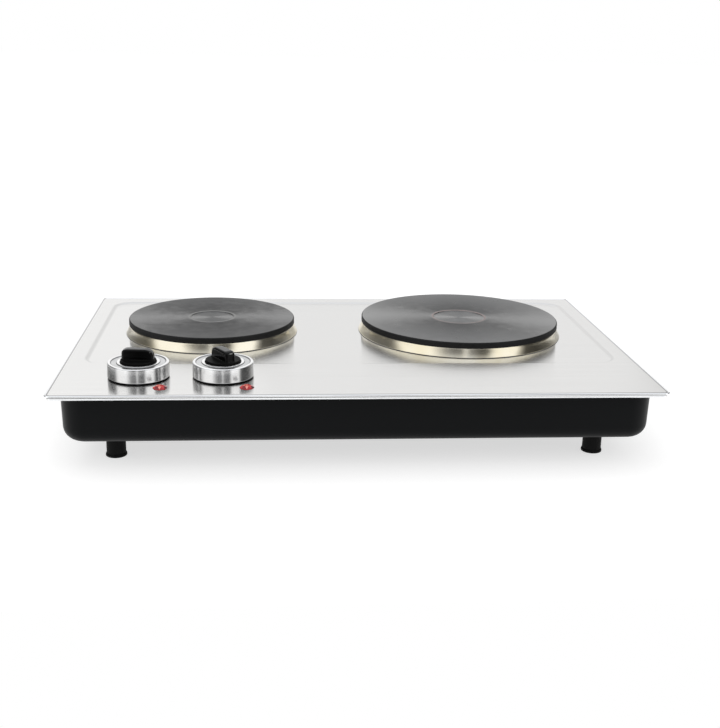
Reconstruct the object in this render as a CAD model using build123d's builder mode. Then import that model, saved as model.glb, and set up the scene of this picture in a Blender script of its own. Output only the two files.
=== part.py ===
"""Twin electric hot plate: a stainless deck with two sealed cast-iron plates, a black pan on four
rubber feet, and two rotary thermostats with pilot lamps at the front left.

Millimetres. The origin is on the table under the middle of the deck, +Z is up, the front faces -Y.
"""
from build123d import *

import math
import os

os.makedirs("parts", exist_ok=True)

# Deck: pressed stainless sheet with a beaded edge and a shallow recess round the plates.
deck_width = 498.0
deck_depth = 324.0
deck_corner = 5.0
deck_gauge = 0.8
bead_height = 2.4
bead_round = 1.1
bead_overhang = 1.8
band_height = 1.8
recess_side = 17.5
recess_back = 16.0
recess_corner = 18.0
recess_sink = 1.5
recess_slope = 5.0
recess_round = 3.0

# Pan: drawn steel tub under the deck.
pan_side = 8.0
pan_end = 9.5
pan_height = 44.2
pan_corner = 20.0
pan_draft = 1.5
pan_gauge = 1.0
pan_edge_round = 12.0
vent_length = 46.0
vent_width = 4.0
vent_pitch = 12.0
vent_count = 7

# Feet and the screws under the pan.
foot_height = 22.0
foot_radius = 8.0
foot_lip_radius = 8.75
foot_lip_height = 2.2
foot_round = 0.5
foot_side = 47.5
foot_end = 47.0
foot_screw_radius = 2.0
foot_sink_radius = 4.6
foot_sink_depth = 8.0
foot_nut_height = 3.2
foot_nut_radius = 4.0
foot_screw_tail = 1.0
post_side = 37.0
post_end = 34.0
post_radius = 4.5
post_thread_depth = 14.0
pan_screw_length = 14.0
pan_head_radius = 4.0
pan_head_height = 1.8
cross_length = 5.2
cross_width = 0.8
cross_depth = 0.9

# Cast-iron plates, their trim rings and what clamps them to the deck.
left_plate_margin = 25.5
left_plate_radius = 77.5
left_well_radius = 21.0
right_plate_margin = 29.5
right_plate_radius = 94.0
right_well_radius = 25.0
control_room = 15.5
front_room = 12.2
back_room = 6.2
seat_margin = 0.5
plate_rise = 12.3
rim_height = 5.4
rim_overhang = 7.0
rim_round = 1.2
well_sink = 0.7
casting_height = 20.3
groove_first = 30.0
groove_pitch = 12.0
groove_width = 7.0
groove_height = 8.0
coil_radius = 2.6
trim_gauge = 0.7
trim_flare = 2.8
trim_tuck = 0.6
trim_lip = 5.6
hole_gap = 1.5
insulation_height = 2.5
cover_gauge = 0.8
cover_inset = 2.0
stud_radius = 4.0
stud_depth = 10.5
stud_tail = 1.5
stud_chamfer = 0.6
bridge_width = 22.0
bridge_gauge = 1.5
bridge_drop = 20.7
bridge_reach = 5.0
nut_height = 6.5
nut_radius = 7.4
terminal_length = 30.0
terminal_width = 16.0
terminal_height = 11.0
block_round = 2.0
pin_radius = 1.5
pin_sleeve = 3.0
pin_spread = 8.0
pin_tail = 5.0

# Controls: knob, spindle, thermostat and pilot lamp.
knob_side = 67.8
knob_pitch = 68.6
knob_front = 50.5
knob_gap = 0.4
skirt_radius = 25.3
skirt_start = 1.3
skirt_top = 13.0
skirt_dish = 0.6
skirt_rim = 2.2
skirt_ring = 2.0
skirt_gauge = 1.0
skirt_round = 1.0
core_base_radius = 24.7
core_wall = 1.5
disc_radius = 14.5
disc_top = 14.8
disc_round = 0.6
grip_length = 26.0
grip_width = 9.0
grip_top = 23.8
grip_nose = 5.5
grip_chin = 2.0
grip_round = 2.4
grip_root = 0.75
hub_radius = 6.5
hub_start = 2.6
left_nose_angle = -5.0
off_angle = 121.0
spindle_radius = 3.0
spindle_flat = 2.0
spindle_top = 12.2
spindle_drop = 10.4
bush_radius = 5.0
bush_stand = 1.2
frame_width = 24.0
frame_length = 38.0
frame_gauge = 1.2
frame_drop = 18.0
leg_inset = 2.0
stack_height = 8.0
stack_width = 18.0
blade_width = 6.0
blade_gauge = 0.3
blade_margin = 2.0
blade_round = 1.0
tab_gauge = 3.4
tab_length = 8.0
tab_spread = 9.0
stop_radius = 7.3
stop_width = 2.0
stop_span = 26.0
lug_span = 20.0
lug_neck = 2.6
lug_height = 2.2
travel = 280.0
mount_screw_radius = 1.6
mount_head_radius = 3.0
mount_head_height = 1.8
mount_spread = 14.0
mount_screw_tail = 1.0
lamp_dx = 19.9
lamp_dy = -31.5
lens_radius = 5.8
lens_height = 2.2
lens_girdle = 0.8
lens_table_radius = 3.2
lens_wall = 0.4
lens_facets = 8
shank_radius = 4.4
shank_drop = 12.0
bulb_radius = 2.6
bulb_length = 11.0
bulb_round = 2.1
bulb_sink = 0.8
retainer_radius = 7.0
retainer_gauge = 0.6

# Mains connection and wiring.
cord_radius = 3.8
cord_x = -10.0
cord_drop = 24.0
gland_radius = 7.0
gland_flange = 10.0
gland_flange_height = 2.2
gland_collar_radius = 9.0
gland_collar_length = 4.4
strip_back = 44.0
strip_length = 42.0
strip_width = 20.0
strip_height = 14.0
strip_pitch = 13.0
strip_screw_radius = 2.2
strip_screw_depth = 5.0
strip_screw_length = 4.0
earth_side = 50.0
earth_ahead = 33.0
earth_size = 9.0
earth_round = 1.0
earth_screw_height = 1.5
wire_radius = 1.3
wire_spacing = 3.5
wire_pair = 2.2
wire_bend = 8.0
wire_turn_up = 3.5
wire_floor_gap = 1.2
left_live_ahead = 19.0
right_live_ahead = 13.0
left_lane_behind = 78.0
right_lane_behind = 36.0

# Clearances.
running_gap = 0.06
body_gap = 0.3
fit_gap = 0.1
screw_gap = 0.3
coil_gap = 0.3
cut_over = 1.0

# Heights above the table.
pan_floor_under = foot_height
pan_floor = foot_height + pan_gauge
deck_under = foot_height + pan_height
deck_top = deck_under + deck_gauge
recess_top = deck_top - recess_sink
recess_under = recess_top - deck_gauge
band_top = deck_top - bead_height
lip_bottom = band_top - band_height
plate_top = deck_top + plate_rise
rim_under = plate_top - rim_height
casting_under = plate_top - casting_height
insulation_under = casting_under - insulation_height
cover_under = insulation_under - cover_gauge
bridge_under = recess_under - bridge_drop
stud_under = bridge_under - nut_height - stud_tail
terminal_under = cover_under - terminal_height
pin_under = terminal_under - pin_tail
frame_top = deck_under
frame_plate_under = frame_top - frame_gauge
frame_under = frame_top - frame_drop
stack_top = frame_under + stack_height
tab_under = frame_under - tab_length
spindle_under = deck_top - spindle_drop
lug_top = spindle_under + lug_height
bush_under = lug_top + body_gap
spindle_flat_start = deck_top + hub_start - fit_gap
spindle_end = deck_top + spindle_top

pan_width = deck_width - 2 * pan_side
pan_depth = deck_depth - 2 * pan_end

# Places on the deck, from its edges inwards. The spare depth is shared out round the plates.
recess_width = deck_width - 2 * recess_side
ring_radius = right_plate_radius + trim_flare
ring_seat = recess_slope + seat_margin
control_depth = knob_front + frame_length / 2
spare_depth = deck_depth - control_depth - 2 * (ring_radius + ring_seat) - recess_back
room_scale = spare_depth / (control_room + front_room + back_room)
recess_front_edge = control_depth + control_room * room_scale - deck_depth / 2
recess_back_edge = deck_depth / 2 - recess_back
recess_depth = recess_back_edge - recess_front_edge - recess_slope
recess_middle = (recess_front_edge + recess_back_edge) / 2
plate_y = recess_back_edge - back_room * room_scale - ring_seat - ring_radius
left_plate_x = left_plate_margin + left_plate_radius - recess_width / 2
right_plate_x = recess_width / 2 - right_plate_margin - right_plate_radius
left_knob_x = knob_side - deck_width / 2
right_knob_x = left_knob_x + knob_pitch
knob_y = knob_front - deck_depth / 2
foot_x = deck_width / 2 - foot_side
foot_y = deck_depth / 2 - foot_end
post_x = deck_width / 2 - post_side
post_y = deck_depth / 2 - post_end
strip_y = deck_depth / 2 - strip_back
earth_x = cord_x + earth_side
earth_y = strip_y - earth_ahead


def upright(x, y):
    """A section plane through a vertical axis at x, y: its own x is the radius, its own y the height."""
    return Plane(origin=(x, y, 0), x_dir=(1, 0, 0), z_dir=(0, -1, 0))


def turned(x, y, points):
    """A piece turned about the vertical axis at x, y from radius and height pairs."""
    with BuildPart() as piece:
        with BuildSketch(upright(x, y)):
            with BuildLine():
                Polyline(*points, close=True)
            make_face()
        revolve(axis=Axis((x, y, 0), (0, 0, 1)))
    return piece.part


def keep(part, name):
    """Labels a finished piece and writes it."""
    part.label = name
    export_step(part, f"parts/{name}.step")


def coil_rings(plate_radius):
    """Radii of the heating rings that fit under a plate."""
    room = plate_radius - rim_overhang - groove_width
    count = int((room - groove_first) / groove_pitch) + 1
    return [groove_first + groove_pitch * index for index in range(count)]


plates = (
    ("left", left_plate_x, left_plate_radius, left_well_radius, 1),
    ("right", right_plate_x, right_plate_radius, right_well_radius, -1),
)
controls = (
    ("left", left_knob_x, left_nose_angle),
    ("right", right_knob_x, off_angle),
)
post_spots = [(sx * post_x, sy * post_y) for sy in (-1, 1) for sx in (-1, 1)]
foot_spots = [(sx * foot_x, sy * foot_y) for sy in (-1, 1) for sx in (-1, 1)]
pin_ring = groove_first + groove_pitch
pin_offset = math.sqrt(pin_ring**2 - pin_spread**2)
lamp_hole = shank_radius + fit_gap

# Top plate: the beaded edge and band, hollowed from below, then the recess pressed down into it.
with BuildPart() as top_plate:
    with BuildSketch(Plane.XY.offset(band_top)):
        RectangleRounded(deck_width, deck_depth, deck_corner)
    extrude(amount=bead_height)
    fillet(top_plate.edges().filter_by(Axis.Z, reverse=True), bead_round)
    with BuildSketch(Plane.XY.offset(lip_bottom)):
        RectangleRounded(
            deck_width - 2 * bead_overhang,
            deck_depth - 2 * bead_overhang,
            deck_corner - bead_overhang,
        )
    extrude(amount=band_height)
    with BuildSketch(Plane.XY.offset(lip_bottom)):
        RectangleRounded(
            deck_width - 2 * bead_overhang - 2 * deck_gauge,
            deck_depth - 2 * bead_overhang - 2 * deck_gauge,
            deck_corner - bead_overhang - deck_gauge,
        )
    extrude(amount=deck_under - lip_bottom, mode=Mode.SUBTRACT)
    with BuildSketch(Plane.XY.offset(deck_under)):
        with Locations((0, recess_middle)):
            RectangleRounded(
                recess_width + recess_slope,
                recess_depth + recess_slope,
                recess_corner + recess_slope / 2,
            )
    with BuildSketch(Plane.XY.offset(recess_under)):
        with Locations((0, recess_middle)):
            RectangleRounded(
                recess_width - recess_slope,
                recess_depth - recess_slope,
                recess_corner - recess_slope / 2,
            )
    loft(ruled=True)
    with BuildSketch(Plane.XY.offset(deck_top)):
        with Locations((0, recess_middle)):
            RectangleRounded(
                recess_width + recess_slope,
                recess_depth + recess_slope,
                recess_corner + recess_slope / 2,
            )
    with BuildSketch(Plane.XY.offset(recess_top)):
        with Locations((0, recess_middle)):
            RectangleRounded(
                recess_width - recess_slope,
                recess_depth - recess_slope,
                recess_corner - recess_slope / 2,
            )
    loft(ruled=True, mode=Mode.SUBTRACT)
    fillet(top_plate.faces().filter_by(Plane.XY).filter_by_position(
        Axis.Z, recess_top - 0.01, recess_top + 0.01).edges(), recess_round)
    for side, x, radius, well, inward in plates:
        with BuildSketch(Plane.XY.offset(recess_under - cut_over)):
            with Locations((x, plate_y)):
                Circle(radius - rim_overhang + hole_gap)
        extrude(amount=deck_top - recess_under + 2 * cut_over, mode=Mode.SUBTRACT)
    for side, x, nose in controls:
        with BuildSketch(Plane.XY.offset(deck_under - cut_over)):
            with Locations((x, knob_y)):
                Circle(bush_radius + screw_gap)
            with Locations((x, knob_y - mount_spread), (x, knob_y + mount_spread)):
                Circle(mount_screw_radius + screw_gap)
            with Locations((x + lamp_dx, knob_y + lamp_dy)):
                Circle(lamp_hole)
        extrude(amount=deck_gauge + 2 * cut_over, mode=Mode.SUBTRACT)
keep(top_plate.part, "top_plate")

# Bottom pan: a tub with drafted walls, open under the deck, with vent slots below both plates.
wall_lean = math.tan(math.radians(pan_draft))
gland_height = deck_top - cord_drop
gland_wall = pan_depth / 2 - (deck_under - gland_height) * wall_lean
with BuildPart() as pan_hollow:
    with BuildSketch(Plane.XY.offset(deck_under)):
        RectangleRounded(pan_width - 2 * pan_gauge, pan_depth - 2 * pan_gauge, pan_corner - pan_gauge)
    extrude(amount=pan_gauge - pan_height, taper=pan_draft)
    fillet(pan_hollow.faces().sort_by(Axis.Z)[0].edges(), pan_edge_round - pan_gauge)
with BuildPart() as bottom_pan:
    with BuildSketch(Plane.XY.offset(deck_under)):
        RectangleRounded(pan_width, pan_depth, pan_corner)
    extrude(amount=-pan_height, taper=pan_draft)
    fillet(bottom_pan.faces().sort_by(Axis.Z)[0].edges(), pan_edge_round)
    add(pan_hollow.part, mode=Mode.SUBTRACT)
    with BuildSketch(Plane.XY.offset(pan_floor_under - cut_over)):
        for side, x, radius, well, inward in plates:
            with Locations((x, plate_y)):
                with GridLocations(vent_pitch, vent_length + 2 * vent_pitch, vent_count, 2):
                    SlotOverall(vent_length, vent_width, rotation=90)
        with Locations(*foot_spots):
            Circle(foot_screw_radius + screw_gap)
        with Locations(*post_spots):
            Circle(foot_screw_radius + screw_gap)
    extrude(amount=pan_gauge + 2 * cut_over, mode=Mode.SUBTRACT)
    with BuildSketch(Plane.XZ.offset(-gland_wall - cut_over)):
        with Locations((cord_x, gland_height)):
            Circle(gland_radius + screw_gap)
    extrude(amount=pan_gauge + 2 * cut_over, mode=Mode.SUBTRACT)
keep(bottom_pan.part, "bottom_pan")

# Posts and pan screws: the posts stand on the pan floor and carry the deck.
with BuildPart() as pan_posts:
    for x, y in post_spots:
        top = deck_under if y < 0 else recess_under
        with BuildSketch(Plane.XY.offset(pan_floor)):
            with Locations((x, y)):
                Circle(post_radius)
                Circle(foot_screw_radius + fit_gap, mode=Mode.SUBTRACT)
        extrude(amount=post_thread_depth)
        with BuildSketch(Plane.XY.offset(pan_floor + post_thread_depth)):
            with Locations((x, y)):
                Circle(post_radius)
        extrude(amount=top - pan_floor - post_thread_depth)
keep(pan_posts.part, "pan_posts")

with BuildPart() as pan_screws:
    with BuildSketch(Plane.XY.offset(pan_floor_under - pan_head_height)):
        with Locations(*post_spots):
            Circle(pan_head_radius)
    extrude(amount=pan_head_height)
    with BuildSketch(Plane.XY.offset(pan_floor_under)):
        with Locations(*post_spots):
            Circle(foot_screw_radius)
    extrude(amount=pan_screw_length)
    with BuildSketch(Plane.XY.offset(pan_floor_under - pan_head_height)):
        with Locations(*post_spots):
            Rectangle(cross_length, cross_width)
            Rectangle(cross_width, cross_length)
    extrude(amount=cross_depth, mode=Mode.SUBTRACT)
keep(pan_screws.part, "pan_screws")

# Feet: flared rubber, each with a sunk screw up through the pan floor and a nut inside.
foot_names = ("foot_front_left", "foot_front_right", "foot_rear_left", "foot_rear_right")
for foot_name, (x, y) in zip(foot_names, foot_spots):
    foot = turned(x, y, (
        (foot_screw_radius + fit_gap, foot_height),
        (foot_radius - foot_round, foot_height),
        (foot_radius, foot_height - foot_round),
        (foot_radius, foot_lip_height),
        (foot_lip_radius, foot_lip_height - foot_round),
        (foot_lip_radius, foot_round),
        (foot_lip_radius - foot_round, 0),
        (foot_sink_radius, 0),
        (foot_sink_radius, foot_sink_depth),
        (foot_screw_radius + fit_gap, foot_sink_depth),
    ))
    keep(foot, foot_name)

with BuildPart() as foot_screws:
    with BuildSketch(Plane.XY.offset(foot_sink_depth - pan_head_height)):
        with Locations(*foot_spots):
            Circle(pan_head_radius)
    extrude(amount=pan_head_height)
    with BuildSketch(Plane.XY.offset(foot_sink_depth)):
        with Locations(*foot_spots):
            Circle(foot_screw_radius)
    extrude(amount=pan_floor + foot_nut_height + foot_screw_tail - foot_sink_depth)
keep(foot_screws.part, "foot_screws")

with BuildPart() as foot_nuts:
    with BuildSketch(Plane.XY.offset(pan_floor)):
        with Locations(*foot_spots):
            RegularPolygon(foot_nut_radius, 6)
            Circle(foot_screw_radius + fit_gap, mode=Mode.SUBTRACT)
    extrude(amount=foot_nut_height)
keep(foot_nuts.part, "foot_nuts")

# Plates, one set for each side.
for side, x, radius, well, inward in plates:
    body_radius = radius - rim_overhang
    rings = coil_rings(radius)
    pin_x = x + inward * pin_offset
    pin_spots = [(pin_x, plate_y - pin_spread), (pin_x, plate_y + pin_spread)]

    # Casting: turned top with a sunk middle, an overhanging rim, and ring grooves below.
    with BuildPart() as plate_casting:
        with BuildSketch(upright(x, plate_y)):
            with BuildLine():
                Polyline(
                    (0, plate_top - well_sink),
                    (well - well_sink, plate_top - well_sink),
                    (well, plate_top),
                    (radius, plate_top),
                    (radius, rim_under),
                    (body_radius, rim_under),
                    (body_radius, casting_under),
                    (stud_radius + fit_gap, casting_under),
                    (stud_radius + fit_gap, casting_under + stud_depth),
                    (0, casting_under + stud_depth),
                    close=True,
                )
            make_face()
        revolve(axis=Axis((x, plate_y, 0), (0, 0, 1)))
        with BuildSketch(Plane.XY.offset(casting_under)):
            with Locations((x, plate_y)):
                for ring in reversed(rings):
                    Circle(ring + groove_width / 2)
                    Circle(ring - groove_width / 2, mode=Mode.SUBTRACT)
        extrude(amount=groove_height, mode=Mode.SUBTRACT)
        rim = plate_casting.edges().filter_by(GeomType.CIRCLE).sort_by(SortBy.RADIUS)[-2:]
        fillet(rim.sort_by(Axis.Z)[-1], rim_round)
    keep(plate_casting.part, f"{side}_plate_casting")

    # Trim ring: a lip under the rim and a cone down to the recess.
    trim = turned(x, plate_y, (
        (radius - trim_tuck - trim_lip, rim_under),
        (radius - trim_tuck, rim_under),
        (radius + trim_flare, recess_top),
        (radius + trim_flare - trim_gauge, recess_top),
        (radius - trim_tuck - trim_gauge, rim_under - trim_gauge),
        (radius - trim_tuck - trim_lip, rim_under - trim_gauge),
    ))
    keep(trim, f"{side}_trim_ring")

    # Heating coils: one ring in each groove.
    with BuildPart() as heating_coils:
        with BuildSketch(upright(x, plate_y)):
            with Locations(*[(ring, casting_under + coil_gap + coil_radius) for ring in rings]):
                Circle(coil_radius)
        revolve(axis=Axis((x, plate_y, 0), (0, 0, 1)))
    keep(heating_coils.part, f"{side}_heating_coils")

    # Insulation disc and cover plate close the grooves from below.
    with BuildPart() as insulation_disc:
        with BuildSketch(Plane.XY.offset(insulation_under)):
            with Locations((x, plate_y)):
                Circle(body_radius - cover_inset)
                Circle(stud_radius + screw_gap, mode=Mode.SUBTRACT)
            with Locations(*pin_spots):
                Circle(pin_radius + fit_gap, mode=Mode.SUBTRACT)
        extrude(amount=insulation_height)
    keep(insulation_disc.part, f"{side}_insulation_disc")

    with BuildPart() as cover_plate:
        with BuildSketch(Plane.XY.offset(cover_under)):
            with Locations((x, plate_y)):
                Circle(body_radius - cover_inset)
                Circle(stud_radius + screw_gap, mode=Mode.SUBTRACT)
            with Locations(*pin_spots):
                Circle(pin_sleeve, mode=Mode.SUBTRACT)
        extrude(amount=cover_gauge)
    keep(cover_plate.part, f"{side}_cover_plate")

    # Stud, bridge and nut pull the plate down on the deck.
    with BuildPart() as plate_stud:
        with BuildSketch(Plane.XY.offset(stud_under)):
            with Locations((x, plate_y)):
                Circle(stud_radius)
        extrude(amount=casting_under + stud_depth - fit_gap - stud_under)
        chamfer(plate_stud.faces().sort_by(Axis.Z)[0].edges(), stud_chamfer)
    keep(plate_stud.part, f"{side}_plate_stud")

    reach = radius + bridge_reach
    with BuildPart() as clamp_bridge:
        with BuildSketch(Plane(origin=(x, plate_y, 0), x_dir=(0, 1, 0), z_dir=(1, 0, 0))):
            with BuildLine():
                Polyline(
                    (-reach, recess_under),
                    (-reach, bridge_under),
                    (reach, bridge_under),
                    (reach, recess_under),
                    (reach - bridge_gauge, recess_under),
                    (reach - bridge_gauge, bridge_under + bridge_gauge),
                    (bridge_gauge - reach, bridge_under + bridge_gauge),
                    (bridge_gauge - reach, recess_under),
                    close=True,
                )
            make_face()
        extrude(amount=bridge_width / 2, both=True)
        with BuildSketch(Plane.XY.offset(bridge_under - cut_over)):
            with Locations((x, plate_y)):
                Circle(stud_radius + screw_gap)
        extrude(amount=bridge_gauge + 2 * cut_over, mode=Mode.SUBTRACT)
    keep(clamp_bridge.part, f"{side}_clamp_bridge")

    with BuildPart() as clamp_nut:
        with BuildSketch(Plane.XY.offset(bridge_under - nut_height)):
            with Locations((x, plate_y)):
                RegularPolygon(nut_radius, 6)
                Circle(stud_radius + fit_gap, mode=Mode.SUBTRACT)
        extrude(amount=nut_height)
    keep(clamp_nut.part, f"{side}_clamp_nut")

    # Ceramic terminal block and the two pins that go up to the coils.
    with BuildPart() as plate_terminals:
        with BuildSketch(Plane.XY.offset(terminal_under)):
            with Locations((pin_x, plate_y)):
                RectangleRounded(terminal_width, terminal_length, block_round)
            with Locations(*pin_spots):
                Circle(pin_radius + fit_gap, mode=Mode.SUBTRACT)
        extrude(amount=terminal_height)
    keep(plate_terminals.part, f"{side}_plate_terminals")

    with BuildPart() as plate_pins:
        with BuildSketch(Plane.XY.offset(pin_under)):
            with Locations(*pin_spots):
                Circle(pin_radius)
        extrude(amount=casting_under - pin_under)
    keep(plate_pins.part, f"{side}_plate_pins")

# Controls, one set for each side. Each knob is built in its off position, then turned to its setting.
for side, x, nose in controls:
    spot = (x, knob_y)
    axis = Axis((x, knob_y, 0), (0, 0, 1))
    turn = nose - off_angle
    core_outer = skirt_radius - skirt_gauge - fit_gap
    core_inner = core_outer - core_wall
    core_top = deck_top + skirt_top - skirt_dish - skirt_gauge - fit_gap
    disc_inner = disc_radius - core_wall
    skirt_hole = disc_radius + body_gap

    # Grip: one black moulding with a cup under the skirt, a disc, a finger bar and a hub.
    with BuildPart() as knob_grip:
        with BuildSketch(upright(x, knob_y)):
            with BuildLine():
                Polyline(
                    (core_inner, deck_top + knob_gap),
                    (core_base_radius, deck_top + knob_gap),
                    (core_base_radius, deck_top + skirt_start),
                    (core_outer, deck_top + skirt_start),
                    (core_outer, core_top),
                    (disc_radius, core_top),
                    (disc_radius, deck_top + disc_top),
                    (0, deck_top + disc_top),
                    (0, deck_top + hub_start),
                    (hub_radius, deck_top + hub_start),
                    (hub_radius, deck_top + disc_top - core_wall),
                    (disc_inner, deck_top + disc_top - core_wall),
                    (disc_inner, core_top - core_wall),
                    (core_inner, core_top - core_wall),
                    close=True,
                )
            make_face()
        revolve(axis=axis)
        fillet(
            knob_grip.edges().filter_by(GeomType.CIRCLE).sort_by(Axis.Z)[-1],
            disc_round,
        )
        with BuildSketch(upright(x, knob_y)) as side_view:
            with BuildLine():
                Polyline(
                    (-grip_length / 2, deck_top + disc_top - grip_root),
                    (-grip_length / 2, deck_top + grip_top),
                    (grip_length / 2 - grip_nose, deck_top + grip_top),
                    (grip_length / 2, deck_top + disc_top + grip_chin),
                    (grip_length / 2, deck_top + disc_top - grip_root),
                    close=True,
                )
            make_face()
            fillet(side_view.vertices().sort_by(Axis.Y)[-2:], grip_round)
        extrude(amount=grip_width / 2, both=True)
        with BuildSketch(Plane.XY.offset(spindle_flat_start)):
            with Locations(spot):
                Circle(spindle_radius + running_gap)
            with Locations((x + spindle_flat + running_gap + spindle_radius, knob_y)):
                Rectangle(2 * spindle_radius, 4 * spindle_radius, mode=Mode.SUBTRACT)
        extrude(amount=spindle_end + fit_gap - spindle_flat_start, mode=Mode.SUBTRACT)
    keep(knob_grip.part.rotate(axis, off_angle + turn), f"{side}_knob_grip")

    # Skirt: spun aluminium cap over the moulding.
    skirt = turned(x, knob_y, (
        (skirt_radius, deck_top + skirt_start),
        (skirt_radius, deck_top + skirt_top - skirt_round),
        (skirt_radius - 0.3 * skirt_round, deck_top + skirt_top - 0.3 * skirt_round),
        (skirt_radius - skirt_round, deck_top + skirt_top),
        (skirt_radius - skirt_rim, deck_top + skirt_top),
        (skirt_radius - skirt_rim - skirt_dish, deck_top + skirt_top - skirt_dish),
        (skirt_hole + skirt_ring, deck_top + skirt_top - skirt_dish),
        (skirt_hole + skirt_ring - skirt_dish, deck_top + skirt_top),
        (skirt_hole, deck_top + skirt_top),
        (skirt_hole, deck_top + skirt_top - skirt_dish - skirt_gauge),
        (skirt_radius - skirt_gauge, deck_top + skirt_top - skirt_dish - skirt_gauge),
        (skirt_radius - skirt_gauge, deck_top + skirt_start),
    ))
    keep(skirt, f"{side}_knob_skirt")

    # Spindle: a D-shaft with a stop lug at its foot.
    with BuildPart() as spindle:
        with BuildSketch(Plane.XY.offset(spindle_under)):
            with Locations(spot):
                Circle(spindle_radius)
        extrude(amount=spindle_flat_start - spindle_under)
        with BuildSketch(Plane.XY.offset(spindle_flat_start)):
            with Locations(spot):
                Circle(spindle_radius)
            with Locations((x + spindle_flat + spindle_radius, knob_y)):
                Rectangle(2 * spindle_radius, 4 * spindle_radius, mode=Mode.SUBTRACT)
        extrude(amount=spindle_end - spindle_flat_start)
        with BuildSketch(Plane.XY.offset(spindle_under)):
            with Locations(spot):
                SlotArc(CenterArc(
                    (0, 0), stop_radius, -lug_span / 2, lug_span, mode=Mode.PRIVATE), stop_width)
                Rectangle(stop_radius, lug_neck, align=(Align.MIN, Align.CENTER))
        extrude(amount=lug_height)
    keep(spindle.part.rotate(axis, off_angle + turn), f"{side}_spindle")

    # Thermostat frame: a bent strap with the spindle bush and the fixed stop.
    with BuildPart() as thermostat_frame:
        with BuildSketch(Plane.XY.offset(frame_plate_under)):
            with Locations(spot):
                RectangleRounded(frame_width, frame_length, block_round)
        extrude(amount=frame_gauge)
        for end in (-1, 1):
            with BuildSketch(Plane.XY.offset(frame_under)):
                with Locations((x, knob_y + end * (frame_length - frame_gauge) / 2)):
                    Rectangle(frame_width - 2 * leg_inset, frame_gauge)
            extrude(amount=frame_drop - frame_gauge)
        with BuildSketch(Plane.XY.offset(bush_under)):
            with Locations(spot):
                Circle(bush_radius)
        extrude(amount=deck_top + bush_stand - bush_under)
        with BuildSketch(Plane.XY.offset(spindle_under)):
            with Locations(spot):
                SlotArc(CenterArc(
                    (0, 0), stop_radius, off_angle + (360 - travel) / 2 - stop_span / 2, stop_span,
                    mode=Mode.PRIVATE), stop_width)
        extrude(amount=frame_plate_under - spindle_under)
        with BuildSketch(Plane.XY.offset(bush_under - cut_over)):
            with Locations(spot):
                Circle(spindle_radius + running_gap)
            with Locations((x, knob_y - mount_spread), (x, knob_y + mount_spread)):
                Circle(mount_screw_radius + fit_gap)
        extrude(amount=deck_top + bush_stand - bush_under + 2 * cut_over, mode=Mode.SUBTRACT)
    keep(thermostat_frame.part, f"{side}_thermostat_frame")

    # Ceramic stack between the legs, with the contact blade on top and two tabs below.
    stack_length = frame_length - 2 * frame_gauge
    with BuildPart() as thermostat_stack:
        with BuildSketch(Plane.XY.offset(frame_under)):
            with Locations(spot):
                RectangleRounded(stack_width, stack_length, blade_round)
        extrude(amount=stack_height)
    keep(thermostat_stack.part, f"{side}_thermostat_stack")

    with BuildPart() as thermostat_blades:
        with BuildSketch(Plane.XY.offset(stack_top)):
            with Locations(spot):
                RectangleRounded(blade_width, stack_length - 2 * blade_margin, blade_round)
        extrude(amount=blade_gauge)
        with BuildSketch(Plane.XY.offset(tab_under)):
            with Locations((x, knob_y - tab_spread), (x, knob_y + tab_spread)):
                Rectangle(blade_width, tab_gauge)
        extrude(amount=tab_length)
    keep(thermostat_blades.part, f"{side}_thermostat_blades")

    with BuildPart() as thermostat_screws:
        with BuildSketch(Plane.XY.offset(deck_top)):
            with Locations((x, knob_y - mount_spread), (x, knob_y + mount_spread)):
                Circle(mount_head_radius)
        extrude(amount=mount_head_height)
        with BuildSketch(Plane.XY.offset(frame_plate_under - mount_screw_tail)):
            with Locations((x, knob_y - mount_spread), (x, knob_y + mount_spread)):
                Circle(mount_screw_radius)
        extrude(amount=deck_top - frame_plate_under + mount_screw_tail)
    keep(thermostat_screws.part, f"{side}_thermostat_screws")

    # Pilot lamp: faceted lens on a hollow shank, neon bulb inside, spring retainer under the deck.
    lamp_x = x + lamp_dx
    lamp_y = knob_y + lamp_dy
    with BuildPart() as pilot_lens:
        with BuildSketch(Plane.XY.offset(deck_top)):
            with Locations((lamp_x, lamp_y)):
                Circle(lens_radius)
        extrude(amount=lens_girdle)
        with BuildSketch(Plane.XY.offset(deck_top + lens_girdle)):
            with Locations((lamp_x, lamp_y)):
                RegularPolygon(lens_radius, lens_facets)
        with BuildSketch(Plane.XY.offset(deck_top + lens_height)):
            with Locations((lamp_x, lamp_y)):
                RegularPolygon(lens_table_radius, lens_facets)
        loft(ruled=True)
        with BuildSketch(Plane.XY.offset(deck_top - shank_drop)):
            with Locations((lamp_x, lamp_y)):
                Circle(shank_radius)
        extrude(amount=shank_drop)
        with BuildSketch(Plane.XY.offset(deck_top - shank_drop)):
            with Locations((lamp_x, lamp_y)):
                Circle(bulb_radius + fit_gap)
        extrude(amount=shank_drop - lens_wall, mode=Mode.SUBTRACT)
    keep(pilot_lens.part, f"{side}_pilot_lens")

    with BuildPart() as pilot_bulb:
        with BuildSketch(Plane.XY.offset(deck_top - bulb_sink - bulb_length)):
            with Locations((lamp_x, lamp_y)):
                Circle(bulb_radius)
        extrude(amount=bulb_length)
        fillet(pilot_bulb.faces().sort_by(Axis.Z)[-1].edges(), bulb_round)
    keep(pilot_bulb.part, f"{side}_pilot_bulb")

    with BuildPart() as pilot_retainer:
        with BuildSketch(Plane.XY.offset(deck_under - retainer_gauge)):
            with Locations((lamp_x, lamp_y)):
                Circle(retainer_radius)
                Circle(lamp_hole, mode=Mode.SUBTRACT)
        extrude(amount=retainer_gauge)
    keep(pilot_retainer.part, f"{side}_pilot_retainer")

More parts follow.
